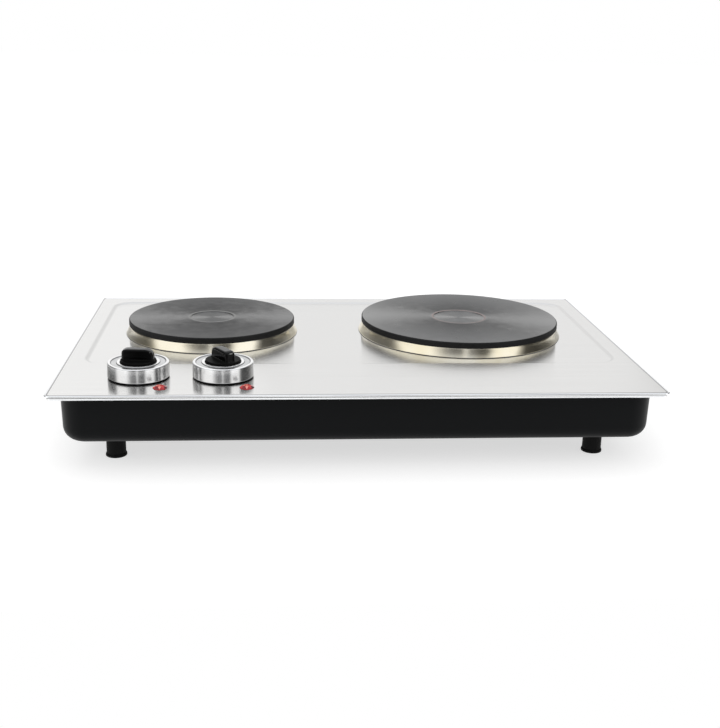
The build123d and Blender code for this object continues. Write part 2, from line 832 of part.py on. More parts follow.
# Cord bush: a flanged gland through the rear wall, with a collar inside.
gland_outer = gland_wall + body_gap + gland_flange_height
gland_inner = gland_wall - pan_gauge - body_gap - gland_collar_length
with BuildPart() as cord_bush:
    with BuildSketch(Plane.XZ.offset(-gland_wall - body_gap - gland_flange_height)):
        with Locations((cord_x, gland_height)):
            Circle(gland_flange)
    extrude(amount=gland_flange_height)
    with BuildSketch(Plane.XZ.offset(-gland_wall - body_gap)):
        with Locations((cord_x, gland_height)):
            Circle(gland_radius)
    extrude(amount=pan_gauge + 2 * body_gap)
    with BuildSketch(Plane.XZ.offset(-gland_wall + pan_gauge + body_gap)):
        with Locations((cord_x, gland_height)):
            Circle(gland_collar_radius)
    extrude(amount=gland_collar_length)
    with BuildSketch(Plane.XZ.offset(-gland_outer - cut_over)):
        with Locations((cord_x, gland_height)):
            Circle(cord_radius)
    extrude(amount=gland_outer - gland_inner + 2 * cut_over, mode=Mode.SUBTRACT)
keep(cord_bush.part, "cord_bush")

# Terminal strip on the pan floor, with a clamp screw for each of its three ways.
strip_spots = [(cord_x + way * strip_pitch, strip_y) for way in (-1, 0, 1)]
with BuildPart() as terminal_strip:
    with BuildSketch(Plane.XY.offset(pan_floor)):
        with Locations((cord_x, strip_y)):
            RectangleRounded(strip_length, strip_width, block_round)
    extrude(amount=strip_height)
    with BuildSketch(Plane.XY.offset(pan_floor + strip_height - strip_screw_depth)):
        with Locations(*strip_spots):
            Circle(strip_screw_radius + fit_gap)
    extrude(amount=strip_screw_depth + cut_over, mode=Mode.SUBTRACT)
keep(terminal_strip.part, "terminal_strip")

with BuildPart() as terminal_screws:
    with BuildSketch(Plane.XY.offset(pan_floor + strip_height - strip_screw_depth)):
        with Locations(*strip_spots):
            Circle(strip_screw_radius)
    extrude(amount=strip_screw_length)
keep(terminal_screws.part, "terminal_screws")

with BuildPart() as earth_terminal:
    with BuildSketch(Plane.XY.offset(pan_floor)):
        with Locations((earth_x, earth_y)):
            RectangleRounded(earth_size, earth_size, earth_round)
    extrude(amount=earth_size)
    with BuildSketch(Plane.XY.offset(pan_floor + earth_size)):
        with Locations((earth_x, earth_y)):
            Circle(strip_screw_radius)
    extrude(amount=earth_screw_height)
keep(earth_terminal.part, "earth_terminal")

# Wires: straight runs just above the pan floor with rounded turns, up into each terminal.
low_lane = pan_floor + wire_radius + wire_floor_gap
mid_lane = low_lane + wire_spacing
high_lane = mid_lane + wire_spacing
strip_front = strip_y - strip_width / 2
live_x = cord_x - strip_pitch
neutral_x = cord_x
ground_x = cord_x + strip_pitch
tab_front = knob_y - tab_spread
tab_back = knob_y + tab_spread
pin_front = plate_y - pin_spread
pin_back = plate_y + pin_spread
left_pin_x = left_plate_x + pin_offset
right_pin_x = right_plate_x - pin_offset


def wires(name, runs):
    """A group of round wires, each along straight runs with rounded turns."""
    with BuildPart() as group:
        for points, bends in runs:
            with BuildLine() as route:
                FilletPolyline(*points, radius=bends)
            with BuildSketch(Plane(origin=route.wire() @ 0, z_dir=route.wire() % 0)):
                Circle(wire_radius)
            sweep(path=route.wire())
    keep(group.part, name)


wires("live_wires", (
    ((
        (live_x - wire_pair, strip_front, low_lane),
        (live_x - wire_pair, tab_front - left_live_ahead, low_lane),
        (left_knob_x, tab_front - left_live_ahead, low_lane),
        (left_knob_x, tab_front, low_lane),
        (left_knob_x, tab_front, tab_under),
    ), (wire_bend, wire_bend, wire_turn_up)),
    ((
        (live_x + wire_pair, strip_front, mid_lane),
        (live_x + wire_pair, tab_front - right_live_ahead, mid_lane),
        (right_knob_x, tab_front - right_live_ahead, mid_lane),
        (right_knob_x, tab_front, mid_lane),
        (right_knob_x, tab_front, tab_under),
    ), (wire_bend, wire_bend, wire_turn_up)),
))
wires("switched_wires", (
    ((
        (left_knob_x, tab_back, tab_under),
        (left_knob_x, tab_back, low_lane),
        (left_knob_x, tab_back + left_lane_behind, low_lane),
        (left_pin_x, tab_back + left_lane_behind, low_lane),
        (left_pin_x, pin_front, low_lane),
        (left_pin_x, pin_front, pin_under),
    ), (wire_turn_up, wire_bend, wire_bend, wire_turn_up)),
    ((
        (right_knob_x, tab_back, tab_under),
        (right_knob_x, tab_back, high_lane),
        (right_knob_x, tab_back + right_lane_behind, high_lane),
        (right_pin_x, tab_back + right_lane_behind, high_lane),
        (right_pin_x, pin_front, high_lane),
        (right_pin_x, pin_front, pin_under),
    ), (wire_turn_up, wire_bend, wire_bend, wire_turn_up)),
))
wires("neutral_wires", (
    ((
        (neutral_x - wire_pair, strip_front, high_lane),
        (neutral_x - wire_pair, pin_back, high_lane),
        (left_pin_x, pin_back, high_lane),
        (left_pin_x, pin_back, pin_under),
    ), (wire_bend, wire_turn_up)),
    ((
        (neutral_x + wire_pair, strip_front, mid_lane),
        (neutral_x + wire_pair, pin_back, mid_lane),
        (right_pin_x, pin_back, mid_lane),
        (right_pin_x, pin_back, pin_under),
    ), (wire_bend, wire_turn_up)),
))
wires("earth_wire", (
    ((
        (ground_x, strip_front, low_lane),
        (ground_x, earth_y, low_lane),
        (earth_x - earth_size / 2, earth_y, low_lane),
    ), (wire_bend,)),
))
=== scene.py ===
"""Twin electric hot plate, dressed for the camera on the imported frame. Metres throughout."""
import math

import bmesh
import bpy
import numpy as np
from mathutils import Matrix, Vector
from mathutils.geometry import delaunay_2d_cdt


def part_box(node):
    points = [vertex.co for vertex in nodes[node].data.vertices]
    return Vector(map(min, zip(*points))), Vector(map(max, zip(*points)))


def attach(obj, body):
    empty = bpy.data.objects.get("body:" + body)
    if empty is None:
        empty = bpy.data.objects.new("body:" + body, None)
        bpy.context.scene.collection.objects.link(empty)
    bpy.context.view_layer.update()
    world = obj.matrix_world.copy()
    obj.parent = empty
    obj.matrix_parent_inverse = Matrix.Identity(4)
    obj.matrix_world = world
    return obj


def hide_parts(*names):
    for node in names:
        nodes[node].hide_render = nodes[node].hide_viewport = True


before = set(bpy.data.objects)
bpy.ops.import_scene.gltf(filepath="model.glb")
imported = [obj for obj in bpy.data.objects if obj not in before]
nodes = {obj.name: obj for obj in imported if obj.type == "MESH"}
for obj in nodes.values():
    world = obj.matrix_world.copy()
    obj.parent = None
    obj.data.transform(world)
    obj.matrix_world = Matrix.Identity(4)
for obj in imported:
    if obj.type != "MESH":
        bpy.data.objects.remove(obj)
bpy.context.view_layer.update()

# Camera: a short telephoto a metre in front of the deck, a little left of its middle,
# looking down on the plates.
mm = 0.001
photo_height = 728
focal_pixels = 1088.4
eye = Vector((-75.42, -971.89, 340.44)) * mm
yaw = math.radians(5.02)
pitch = math.radians(16.96)
roll = math.radians(1.31)
forward = Vector((math.sin(yaw) * math.cos(pitch), math.cos(yaw) * math.cos(pitch), -math.sin(pitch)))
level_right = Vector((math.cos(yaw), -math.sin(yaw), 0))
level_up = level_right.cross(forward)
right = level_right * math.cos(roll) + level_up * math.sin(roll)
up = level_up * math.cos(roll) - level_right * math.sin(roll)
lens = bpy.data.cameras.new("camera")
lens.sensor_width = 36
lens.lens = focal_pixels / photo_height * lens.sensor_width
lens.clip_end = 50
camera = bpy.data.objects.new("camera", lens)
camera.matrix_world = Matrix((
    (right.x, up.x, -forward.x, eye.x),
    (right.y, up.y, -forward.y, eye.y),
    (right.z, up.z, -forward.z, eye.z),
    (0, 0, 0, 1),
))
bpy.context.scene.collection.objects.link(camera)
bpy.context.scene.camera = camera
bpy.context.scene.view_settings.view_transform = "Standard"


# Studio: a white tabletop and a soft white tent with dark gaps round its sides, which the polished
# metal shows as bands. The lamps are one big overhead panel and a front fill.
def add_node(owner, kind, feeds=None, values=None, **options):
    """A new shader node of a material or a world. Options are set on the node, values are constants on
    its inputs, and feeds are the outputs that drive its inputs, both by the input's name or number."""
    made = owner.node_tree.nodes.new(f"ShaderNode{kind}")
    for option, choice in options.items():
        setattr(made, option, choice)
    for socket, value in (values or {}).items():
        made.inputs[socket].default_value = value
    for socket, output in (feeds or {}).items():
        owner.node_tree.links.new(output, made.inputs[socket])
    return made


def add_ramp(owner, factor, stops):
    """A colour ramp over the factor, through a colour or a grey level at each stop. Returns its output."""
    ramp = add_node(owner, "ValToRGB", {0: factor})
    elements = ramp.color_ramp.elements
    for extra in stops[2:]:
        elements.new(0.5)
    for element, (position, color) in zip(elements, stops):
        element.position = position
        element.color = (*np.broadcast_to(color, 3).tolist(), 1)
    return ramp.outputs[0]


def grid_quads(rows, columns):
    """Four-sided faces over a rows by columns grid of points counted row by row."""
    corner = np.arange(rows - 1)[:, None] * columns + np.arange(columns - 1)[None, :]
    quads = np.stack((corner, corner + 1, corner + columns + 1, corner + columns), axis=-1)
    return quads.reshape(-1, 4)


def put_piece(name, points, faces, material, uv=None, sharp=35, flat_sheets=False):
    """Makes an object from an array of points and an array or list of faces. Points that fall together
    are welded, so seams and poles close, and edges sharper than the angle stay crisp. The triangles of
    flat sheets are shaded flat."""
    weld = 1e-7
    mesh = bpy.data.meshes.new(name)
    mesh.from_pydata(np.asarray(points).tolist(), [], [list(map(int, face)) for face in faces])
    if uv is not None:
        layer = mesh.uv_layers.new(name="turning")
        corner_point = np.empty(len(mesh.loops), dtype=np.int32)
        mesh.loops.foreach_get("vertex_index", corner_point)
        layer.data.foreach_set("uv", np.asarray(uv, dtype=np.float32)[corner_point].ravel())
    shell = bmesh.new()
    shell.from_mesh(mesh)
    bmesh.ops.remove_doubles(shell, verts=shell.verts, dist=weld)
    bmesh.ops.dissolve_degenerate(shell, edges=shell.edges, dist=weld)
    shell.to_mesh(mesh)
    shell.free()
    mesh.shade_smooth()
    if flat_sheets:
        corners = np.empty(len(mesh.polygons), dtype=np.int32)
        mesh.polygons.foreach_get("loop_total", corners)
        mesh.polygons.foreach_set("use_smooth", corners != 3)
    mesh.set_sharp_from_angle(angle=math.radians(sharp))
    mesh.materials.append(material)
    piece = bpy.data.objects.new(name, mesh)
    bpy.context.scene.collection.objects.link(piece)
    return piece


table_material = bpy.data.materials.new("white_tabletop")
table_material.use_nodes = True
table_material.node_tree.nodes.clear()
table_grey = (0.52, 0.52, 0.52, 1)
table_lift = 0.64
table_rays = add_node(table_material, "LightPath")
table_seen = add_node(
    table_material, "Math",
    {0: table_rays.outputs["Is Camera Ray"], 1: table_rays.outputs["Is Glossy Ray"]}, operation="ADD")
table_lifted = add_node(
    table_material, "Math", {0: table_seen.outputs[0]}, {1: table_lift}, operation="MULTIPLY")
table_glow = add_node(table_material, "Emission", {"Strength": table_lifted.outputs[0]})
table_matt = add_node(table_material, "BsdfDiffuse", values={"Color": table_grey})
table_sum = add_node(table_material, "AddShader", {0: table_matt.outputs[0], 1: table_glow.outputs[0]})
add_node(table_material, "OutputMaterial", {"Surface": table_sum.outputs[0]})
table_half = 14.0
table_front = -0.37
table_points = np.array([
    (-table_half, table_front, 0),
    (table_half, table_front, 0),
    (-table_half, table_half, 0),
    (table_half, table_half, 0),
])
tabletop = put_piece("tabletop", table_points, np.array([(0, 1, 3, 2)]), table_material)

world = bpy.data.worlds.new("tent")
bpy.context.scene.world = world
world.use_nodes = True
world.node_tree.nodes.clear()
white = (1, 1, 1, 1)
tent_rays = add_node(world, "LightPath")
tent_place = add_node(world, "TexCoord")
tent_axes = add_node(world, "SeparateXYZ", {0: tent_place.outputs["Generated"]})
# Bearing of a direction from the camera's side: 0.5 towards the camera, 0 and 1 straight behind.
tent_flip = add_node(world, "Math", {0: tent_axes.outputs["Y"]}, {1: -1}, operation="MULTIPLY")
tent_bearing = add_node(
    world, "Math", {0: tent_axes.outputs["X"], 1: tent_flip.outputs[0]}, operation="ARCTAN2")
tent_span = add_node(
    world, "MapRange", {"Value": tent_bearing.outputs[0]}, {"From Min": -math.pi, "From Max": math.pi})
band_levels = (
    (-180, 0.91), (-164, 0.97), (-157, 0.50), (-150, 0.38), (-142, 0.28), (-128, 0.16),
    (-114, 0.11), (-100, 0.10), (-93, 0.14), (-87, 0.30), (-81, 0.78), (-75, 1.0),
    (-41, 1.0), (-33, 0.66), (-24, 0.28), (-14, 0.12), (-4, 0.14), (-2, 0.55),
    (2, 0.55), (5, 0.18), (18, 0.05), (26, 0.10), (33, 0.80), (38, 1.0),
    (62, 1.0), (68, 0.36), (74, 0.05), (92, 0.03), (112, 0.08), (132, 0.34),
    (151, 0.46), (160, 0.86),
)
tent_bands = add_ramp(
    world, tent_span.outputs[0], [(bearing / 360 + 0.5, level) for bearing, level in band_levels])
# The bands stand round the sides of the tent, and its ceiling is white.
tent_rise = add_node(
    world, "MapRange", {"Value": tent_axes.outputs["Z"]}, {"From Min": 0.50, "From Max": 0.80},
    interpolation_type="SMOOTHSTEP")
tent_ceiling = add_node(
    world, "Mix", {"Factor": tent_rise.outputs[0], "A": tent_bands}, {"B": (0.92, 0.935, 0.96, 1)},
    data_type="RGBA")
tent_mirrored = add_node(world, "Background", {"Color": tent_ceiling.outputs["Result"]}, {"Strength": 1.15})
tent_light = add_node(world, "Background", values={"Color": white, "Strength": 0.72})
tent_shown = add_node(world, "Background", values={"Color": white, "Strength": 1.0})
tent_metal = add_node(
    world, "Math",
    {0: tent_rays.outputs["Is Glossy Ray"], 1: tent_rays.outputs["Is Transmission Ray"]}, operation="MAXIMUM")
tent_first = add_node(
    world, "MixShader", {0: tent_metal.outputs[0], 1: tent_light.outputs[0], 2: tent_mirrored.outputs[0]})
tent_second = add_node(
    world, "MixShader",
    {0: tent_rays.outputs["Is Camera Ray"], 1: tent_first.outputs[0], 2: tent_shown.outputs[0]})
add_node(world, "OutputWorld", {"Surface": tent_second.outputs[0]})


def area_lamp(name, place, target, size, watts):
    """A square lamp at a place, turned towards a target. Returns its object."""
    lamp = bpy.data.lights.new(name, "AREA")
    lamp.size = size
    lamp.energy = watts
    holder = bpy.data.objects.new(name, lamp)
    holder.location = place
    holder.rotation_euler = (Vector(target) - Vector(place)).to_track_quat("-Z", "Y").to_euler()
    bpy.context.scene.collection.objects.link(holder)
    return holder


overhead = area_lamp("overhead_panel", (-0.2, 0.1, 1.7), (0, 0, 0), 1.8, 10)
overhead.visible_glossy = False
front_fill = area_lamp("front_fill", (-0.9, -1.9, 1.6), (0, -0.1, 0.05), 1.0, 4)
front_fill.visible_glossy = False


# Pan: a drawn steel tub under the deck, sprayed satin black, with vent slots pressed through its floor.
# Four posts inside carry the deck, and cross-head screws hold the pan to them from below.
def sockets(material):
    """The inputs of a material's Principled surface."""
    return material.node_tree.nodes["Principled BSDF"].inputs


def drive(material, socket, output):
    """Lets a node's output drive one input of the material's surface."""
    material.node_tree.links.new(output, sockets(material)[socket])


def blank(name, color, roughness, metallic=0, specular=0.5):
    """A new material with a plain Principled surface, its colour and finish set on the sockets."""
    material = bpy.data.materials.new(name)
    material.use_nodes = True
    sockets(material)["Base Color"].default_value = (*color, 1)
    sockets(material)["Roughness"].default_value = roughness
    sockets(material)["Metallic"].default_value = metallic
    sockets(material)["Specular IOR Level"].default_value = specular
    return material


def grain(material, scale, detail=4, stretch=(1, 1, 1)):
    """A noise over the piece in metres, stretched along its axes. Returns its output, from 0 to 1."""
    place = add_node(material, "TexCoord")
    stretched = add_node(material, "Mapping", {"Vector": place.outputs["Object"]}, {"Scale": stretch})
    noise = add_node(
        material, "TexNoise", {"Vector": stretched.outputs["Vector"]}, {"Scale": scale, "Detail": detail})
    return noise.outputs["Fac"]


noise_low = 0.3
noise_high = 0.7


def vary_roughness(material, noise, low, high):
    """Roughness between two values with the noise."""
    span = add_node(
        material, "MapRange", {"Value": noise},
        {"From Min": noise_low, "From Max": noise_high, "To Min": low, "To Max": high})
    drive(material, "Roughness", span.outputs[0])


def surface(name, scale, colors, roughness, metallic=0, specular=0.5, detail=4, stretch=(1, 1, 1)):
    """A material whose colour wanders between two colours or grey levels with a noise, and its roughness
    too where that is a pair. The mean colour stands on the socket, under the noise."""
    dark, light = (np.broadcast_to(color, 3) for color in colors)
    low, high = np.broadcast_to(roughness, 2).tolist()
    material = blank(name, ((dark + light) / 2).tolist(), (low + high) / 2, metallic, specular)
    noise = grain(material, scale, detail, stretch)
    drive(material, "Base Color", add_ramp(material, noise, ((noise_low, dark), (noise_high, light))))
    if high > low:
        vary_roughness(material, noise, low, high)
    return material


def emboss(material, strength, depth, scale, detail=4, stretch=(1, 1, 1)):
    """Fine relief from a noise: depth in metres."""
    height = grain(material, scale, detail, stretch)
    bump = add_node(material, "Bump", {"Height": height}, {"Strength": strength, "Distance": depth})
    drive(material, "Normal", bump.outputs["Normal"])


def rounded_loop(half_x, half_y, corner, centre=(0, 0), steps=14):
    """Points round a rectangle with round corners, counterclockwise from above, its first point repeated
    at the end: each corner is a quarter circle of the given radius. Sizes may be arrays of one row each."""
    half_x, half_y, corner = np.broadcast_arrays(
        np.atleast_1d(half_x)[:, None], np.atleast_1d(half_y)[:, None], np.atleast_1d(corner)[:, None])
    angle = np.linspace(0, math.pi / 2, steps + 1)[None, :]
    loops = []
    for quarter, (side_x, side_y) in enumerate(((1, 1), (-1, 1), (-1, -1), (1, -1))):
        turn = angle + quarter * math.pi / 2
        loops.append(np.stack((
            centre[0] + side_x * (half_x - corner) + corner * np.cos(turn),
            centre[1] + side_y * (half_y - corner) + corner * np.sin(turn),
        ), axis=-1))
    loop = np.concatenate(loops, axis=1)
    return np.concatenate((loop, loop[:, :1]), axis=1)


least_corner = 0.3 * mm


def carried(insets, heights, half_x, half_y, corner, centre=(0, 0)):
    """A profile carried round a rectangle with round corners: one row of points for each inset and height.
    Returns points and faces."""
    insets = np.asarray(insets, dtype=float)
    loop = rounded_loop(half_x - insets, half_y - insets, np.maximum(corner - insets, least_corner), centre)
    heights = np.broadcast_to(np.asarray(heights, dtype=float)[:, None, None], (*loop.shape[:2], 1))
    points = np.concatenate((loop, heights), axis=-1)
    return points.reshape(-1, 3), grid_quads(*loop.shape[:2])


def inset_loop(inset, half_x, half_y, corner, centre=(0, 0)):
    """The outline of a rectangle with round corners at an inset from its edge, the first not repeated."""
    loop = rounded_loop(half_x - inset, half_y - inset, max(corner - inset, least_corner), centre)
    return loop[0][:-1]


def circle(centre, radius, steps=96):
    """Points round a circle, counterclockwise from above, the first not repeated."""
    turn = np.linspace(0, 2 * math.pi, steps, endpoint=False)
    return np.stack((centre[0] + radius * np.cos(turn), centre[1] + radius * np.sin(turn)), axis=-1)


def flat_sheet(outer, holes, height, facing):
    """A flat face at one height inside an outer loop and round its holes, facing up or down: triangles
    between the loops' points, kept where a line from a triangle's middle crosses the loops an odd
    number of times."""
    loops = [np.asarray(loop) for loop in (outer, *holes)]
    spots = np.concatenate(loops)
    edges = []
    start = 0
    for loop in loops:
        index = np.arange(len(loop))
        edges.append(start + np.stack((index, (index + 1) % len(loop)), axis=-1))
        start += len(loop)
    edges = np.concatenate(edges)
    filled = delaunay_2d_cdt([Vector(spot) for spot in spots], edges.tolist(), [], 0, 1e-9)
    flat = np.array([spot[:] for spot in filled[0]])
    faces = np.array(filled[2])
    middle = flat[faces].mean(axis=1)[:, None, :]
    here, there = spots[edges[:, 0]], spots[edges[:, 1]]
    spans = (here[:, 1] > middle[..., 1]) != (there[:, 1] > middle[..., 1])
    rise = np.where(there[:, 1] == here[:, 1], 1, there[:, 1] - here[:, 1])
    meets = here[:, 0] + (there - here)[:, 0] * (middle[..., 1] - here[:, 1]) / rise
    faces = faces[(spans & (middle[..., 0] < meets)).sum(axis=1) % 2 == 1]
    a, b, c = flat[faces[:, 0]], flat[faces[:, 1]], flat[faces[:, 2]]
    area = (b - a)[:, 0] * (c - a)[:, 1] - (b - a)[:, 1] * (c - a)[:, 0]
    wrong = np.sign(area) != facing
    faces[wrong] = faces[wrong][:, ::-1]
    points = np.concatenate((flat, np.full((len(flat), 1), height)), axis=-1)
    return points, faces


def hole_wall(loop, low, high):
    """The wall of a hole through a sheet: the loop at two heights, facing into the hole."""
    ring = np.concatenate((loop, loop[:1]))
    points = np.concatenate([np.column_stack((ring, np.full(len(ring), z))) for z in (high, low)])
    return points, grid_quads(2, len(ring))


def flipped(points, faces):
    """The same points with each face turned over."""
    return points, faces[:, ::-1]


def joined(*parts):
    """Several sets of points and faces as one."""
    points = []
    faces = []
    start = 0
    for part_points, part_faces in parts:
        points.append(part_points)
        faces.extend((np.asarray(part_faces) + start).tolist())
        start += len(part_points)
    return np.concatenate(points), faces


def slot_loop(centre, length, width, steps=6):
    """Points round a slot with half-round ends that runs front to back."""
    radius = width / 2
    run = length / 2 - radius
    turn = np.linspace(0, math.pi, steps + 1)
    back = np.stack((radius * np.cos(turn), run + radius * np.sin(turn)), axis=-1)
    front = np.stack((-radius * np.cos(turn), -run - radius * np.sin(turn)), axis=-1)
    return np.concatenate((back, front)) + np.asarray(centre)


def arc(centre, radius, start, end, steps=8):
    """Points on an arc in a section, start and end in degrees. Returns two arrays."""
    turn = np.radians(np.linspace(start, end, steps + 1))
    return centre[0] + radius * np.cos(turn), centre[1] + radius * np.sin(turn)


def spot_of(name):
    """The middle of a CAD piece's box, seen from above."""
    low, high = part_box(name)
    return (low[0] + high[0]) / 2, (low[1] + high[1]) / 2


sides = ("left", "right")
deck_half_x, deck_half_y, deck_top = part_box("top_plate")[1]
pan_low, pan_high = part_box("bottom_pan")
pan_half_x, pan_half_y, pan_top = pan_high
pan_under = pan_low[2]
pan_corner = 20 * mm
pan_edge = 12 * mm
pan_gauge = 1 * mm
pan_lean = math.tan(math.radians(1.5))
floor_margin = 4 * mm
plate_spots = {}
for side in sides:
    low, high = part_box(f"{side}_plate_casting")
    plate_spots[side] = (*spot_of(f"{side}_plate_casting"), (high[0] - low[0]) / 2)


def tub_profile(edge, under, inset):
    """Insets and heights down a leaning wall and round the edge on to the floor."""
    lean_angle = math.degrees(math.atan(pan_lean))
    foot = inset + (pan_top - under - edge) * pan_lean
    centre_inset = foot + edge * math.cos(math.radians(lean_angle))
    across, height = arc((0, 0), edge, 180 + lean_angle, 270, 10)
    insets = np.concatenate(([inset], centre_inset + across, [centre_inset + floor_margin]))
    heights = np.concatenate(([pan_top], under + edge + height, [under]))
    return insets, heights


vent_length = 46 * mm
vent_width = 4 * mm
vent_pitch = 12 * mm
pan_holes = []
for plate_x, plate_y, plate_radius in plate_spots.values():
    for row in (-1, 1):
        for column in range(-3, 4):
            spot = (plate_x + column * vent_pitch, plate_y + row * (vent_length / 2 + vent_pitch))
            pan_holes.append(slot_loop(spot, vent_length, vent_width))
foot_names = [name for name in nodes if name.startswith(("foot_front", "foot_rear"))]
foot_spots = [spot_of(name) for name in foot_names]
post_x = deck_half_x - 37 * mm
post_y = deck_half_y - 34 * mm
post_spots = [(side_x * post_x, side_y * post_y) for side_x in (-1, 1) for side_y in (-1, 1)]
screw_hole = 2.3 * mm
pan_holes += [circle(spot, screw_hole, 24) for spot in foot_spots + post_spots]
pan_place = (pan_half_x, pan_half_y, pan_corner)
pan_floor = pan_under + pan_gauge
outside = tub_profile(pan_edge, pan_under, 0)
inside = tub_profile(pan_edge - pan_gauge, pan_floor, pan_gauge)
pan_parts = [
    flipped(*carried(*outside, *pan_place)),
    carried(*inside, *pan_place),
    flipped(*carried((pan_gauge, 0), (pan_top, pan_top), *pan_place)),
    flat_sheet(inset_loop(outside[0][-1], *pan_place), pan_holes, pan_under, -1),
    flat_sheet(inset_loop(inside[0][-1], *pan_place), pan_holes, pan_floor, 1),
]
pan_parts += [hole_wall(loop, pan_under, pan_floor) for loop in pan_holes]
pan_colors = ((0.0018, 0.0023, 0.0028), (0.0032, 0.0038, 0.0044))
pan_paint = surface("satin_black_paint", 14, pan_colors, (0.36, 0.48), specular=0.11, detail=2)
emboss(pan_paint, 0.25, 0.2 * mm, 900)
pan = put_piece("pan_shell", *joined(*pan_parts), pan_paint, flat_sheets=True)
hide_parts("bottom_pan")
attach(pan, "base")

# Fixings and bright steel inside: zinc-plated posts, screws, nuts, studs, bridges, covers and frames,
# pressed or turned, and seen only through the vents and from below.
zinc = surface("zinc_plate", 160, ((0.50, 0.51, 0.53), (0.70, 0.70, 0.69)), (0.28, 0.45), metallic=1)


def dress(material, names):
    """Gives a material to CAD pieces that keep their own shape."""
    for name in names:
        shape = nodes[name].data
        shape.materials.clear()
        shape.materials.append(material)


zinc_words = ("cover_plate", "plate_stud", "clamp_bridge", "clamp_nut", "spindle", "thermostat_frame",
              "thermostat_screws", "pilot_retainer")
dress(zinc, ["pan_posts", "pan_screws", "foot_screws", "foot_nuts"])
dress(zinc, [f"{side}_{word}" for side in sides for word in zinc_words])


# Feet: moulded black rubber bushes with a flared lip, each held by a screw sunk up its middle.
# The lip is what stands on the table.
def turned(profile_radius, profile_height, axis, steps=192):
    """A profile turned about a vertical axis: one row of points for each radius and height, round the
    full circle. The map runs along the profile first, then round. Returns points, faces and map."""
    radius = np.asarray(profile_radius, dtype=float)
    height = np.asarray(profile_height, dtype=float)
    turn = np.linspace(0, 2 * math.pi, steps + 1)
    points = np.stack((
        axis[0] + radius[:, None] * np.cos(turn),
        axis[1] + radius[:, None] * np.sin(turn),
        np.broadcast_to(height[:, None], (len(height), steps + 1)),
    ), axis=-1)
    along = np.concatenate(([0], np.cumsum(np.hypot(np.diff(radius), np.diff(height)))))
    uv = np.stack(np.broadcast_arrays(along[:, None], turn[None, :] / (2 * math.pi)), axis=-1)
    return points.reshape(-1, 3), grid_quads(len(radius), steps + 1), uv.reshape(-1, 2)


def outline(*pieces):
    """Section points and arcs strung together. Returns radius and height arrays."""
    radius = np.concatenate([np.atleast_1d(piece[0]) for piece in pieces])
    height = np.concatenate([np.atleast_1d(piece[1]) for piece in pieces])
    return radius, height


rubber = surface("moulded_rubber", 700, (0.003, 0.007), (0.55, 0.75), specular=0.15)
emboss(rubber, 0.3, 0.2 * mm, 700)
foot_radius = 8.0 * mm
foot_lip = 8.75 * mm
foot_bore = 2.1 * mm
foot_sink = 4.6 * mm
foot_sink_height = 8 * mm
foot_round = 0.5 * mm
foot_height = pan_under
waist_height = 3.4 * mm
flare_radius = 1.2 * mm
flare_height = 3.2 * mm
lip_height = 1.5 * mm
for name, spot in zip(foot_names, foot_spots):
    radius, height = outline(
        (foot_bore, foot_height),
        arc((foot_radius - foot_round, foot_height - foot_round), foot_round, 90, 0),
        (foot_radius, waist_height),
        arc((foot_radius + flare_radius, flare_height), flare_radius, 180, 235),
        arc((foot_lip - foot_round, lip_height), foot_round, 60, 0),
        arc((foot_lip - foot_round, foot_round), foot_round, 0, -90),
        (foot_sink, 0),
        (foot_sink, foot_sink_height),
        (foot_bore, foot_sink_height),
        (foot_bore, foot_height),
    )
    points, faces, uv = turned(radius, height, spot, 96)
    foot = put_piece(f"{name}_rubber", points, faces[:, ::-1], rubber)
    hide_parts(name)
    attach(foot, "base")

# Deck: brushed stainless sheet, its edge rolled into a bead over a short turned-down band, with a
# shallow recess pressed round the plates and holes for plates, spindles, screws and lamps.
deck_gauge = 0.8 * mm
deck_corner = 5 * mm
deck_place = (deck_half_x, deck_half_y, deck_corner)
bead_radius = 0.85 * mm
bead_overhang = 1.8 * mm
fold_height = 0.9 * mm
fold_top = deck_top - 2 * bead_radius
band_end = deck_top - 4.2 * mm
band_inner = bead_overhang + deck_gauge
band_round = 0.2 * mm
under_start = 5 * mm
valley_inset = np.array((3.6, 3.0, 2.5, 2.0, 1.7)) * mm
valley_fall = np.array((0, 0.03, 0.12, 0.25, 0.30)) * mm
edge_profile = outline(
    (valley_inset, deck_top - valley_fall),
    arc((bead_radius, deck_top - bead_radius), bead_radius, 40, 270, 20),
    (bead_overhang, fold_top),
    (bead_overhang, fold_top - fold_height),
    (bead_overhang, band_end + band_round),
    (bead_overhang + band_round, band_end),
    (band_inner - band_round, band_end),
    (band_inner, band_end + band_round),
    (band_inner, deck_top - deck_gauge),
    (under_start, deck_top - deck_gauge),
)
recess_slope = 5 * mm
recess_sink = 1.5 * mm
recess_floor = deck_top - recess_sink
recess_half_x = deck_half_x - 17.5 * mm + recess_slope / 2
recess_front = -77 * mm
recess_back = 146 * mm
recess_half_y = (recess_back - recess_front) / 2
recess_corner = 20.5 * mm
recess_place = (recess_half_x, recess_half_y, recess_corner, (0, (recess_front + recess_back) / 2))
guard = 0.6 * mm
slope_share = np.linspace(0, 1, 13)
slope_fall = recess_sink * slope_share**2 * (3 - 2 * slope_share)
slope_inset = np.concatenate(([-guard], slope_share * recess_slope, [recess_slope + guard]))
slope_height = deck_top - np.concatenate(([0], slope_fall, [recess_sink]))
knob_spots = {side: spot_of(f"{side}_knob_skirt") for side in sides}
lamp_spots = {side: spot_of(f"{side}_pilot_lens") for side in sides}
spindle_hole = 5.3 * mm
frame_hole = 1.9 * mm
frame_reach = 14 * mm
lamp_hole = 4.5 * mm
plate_hole_margin = 5.5 * mm
control_holes = []
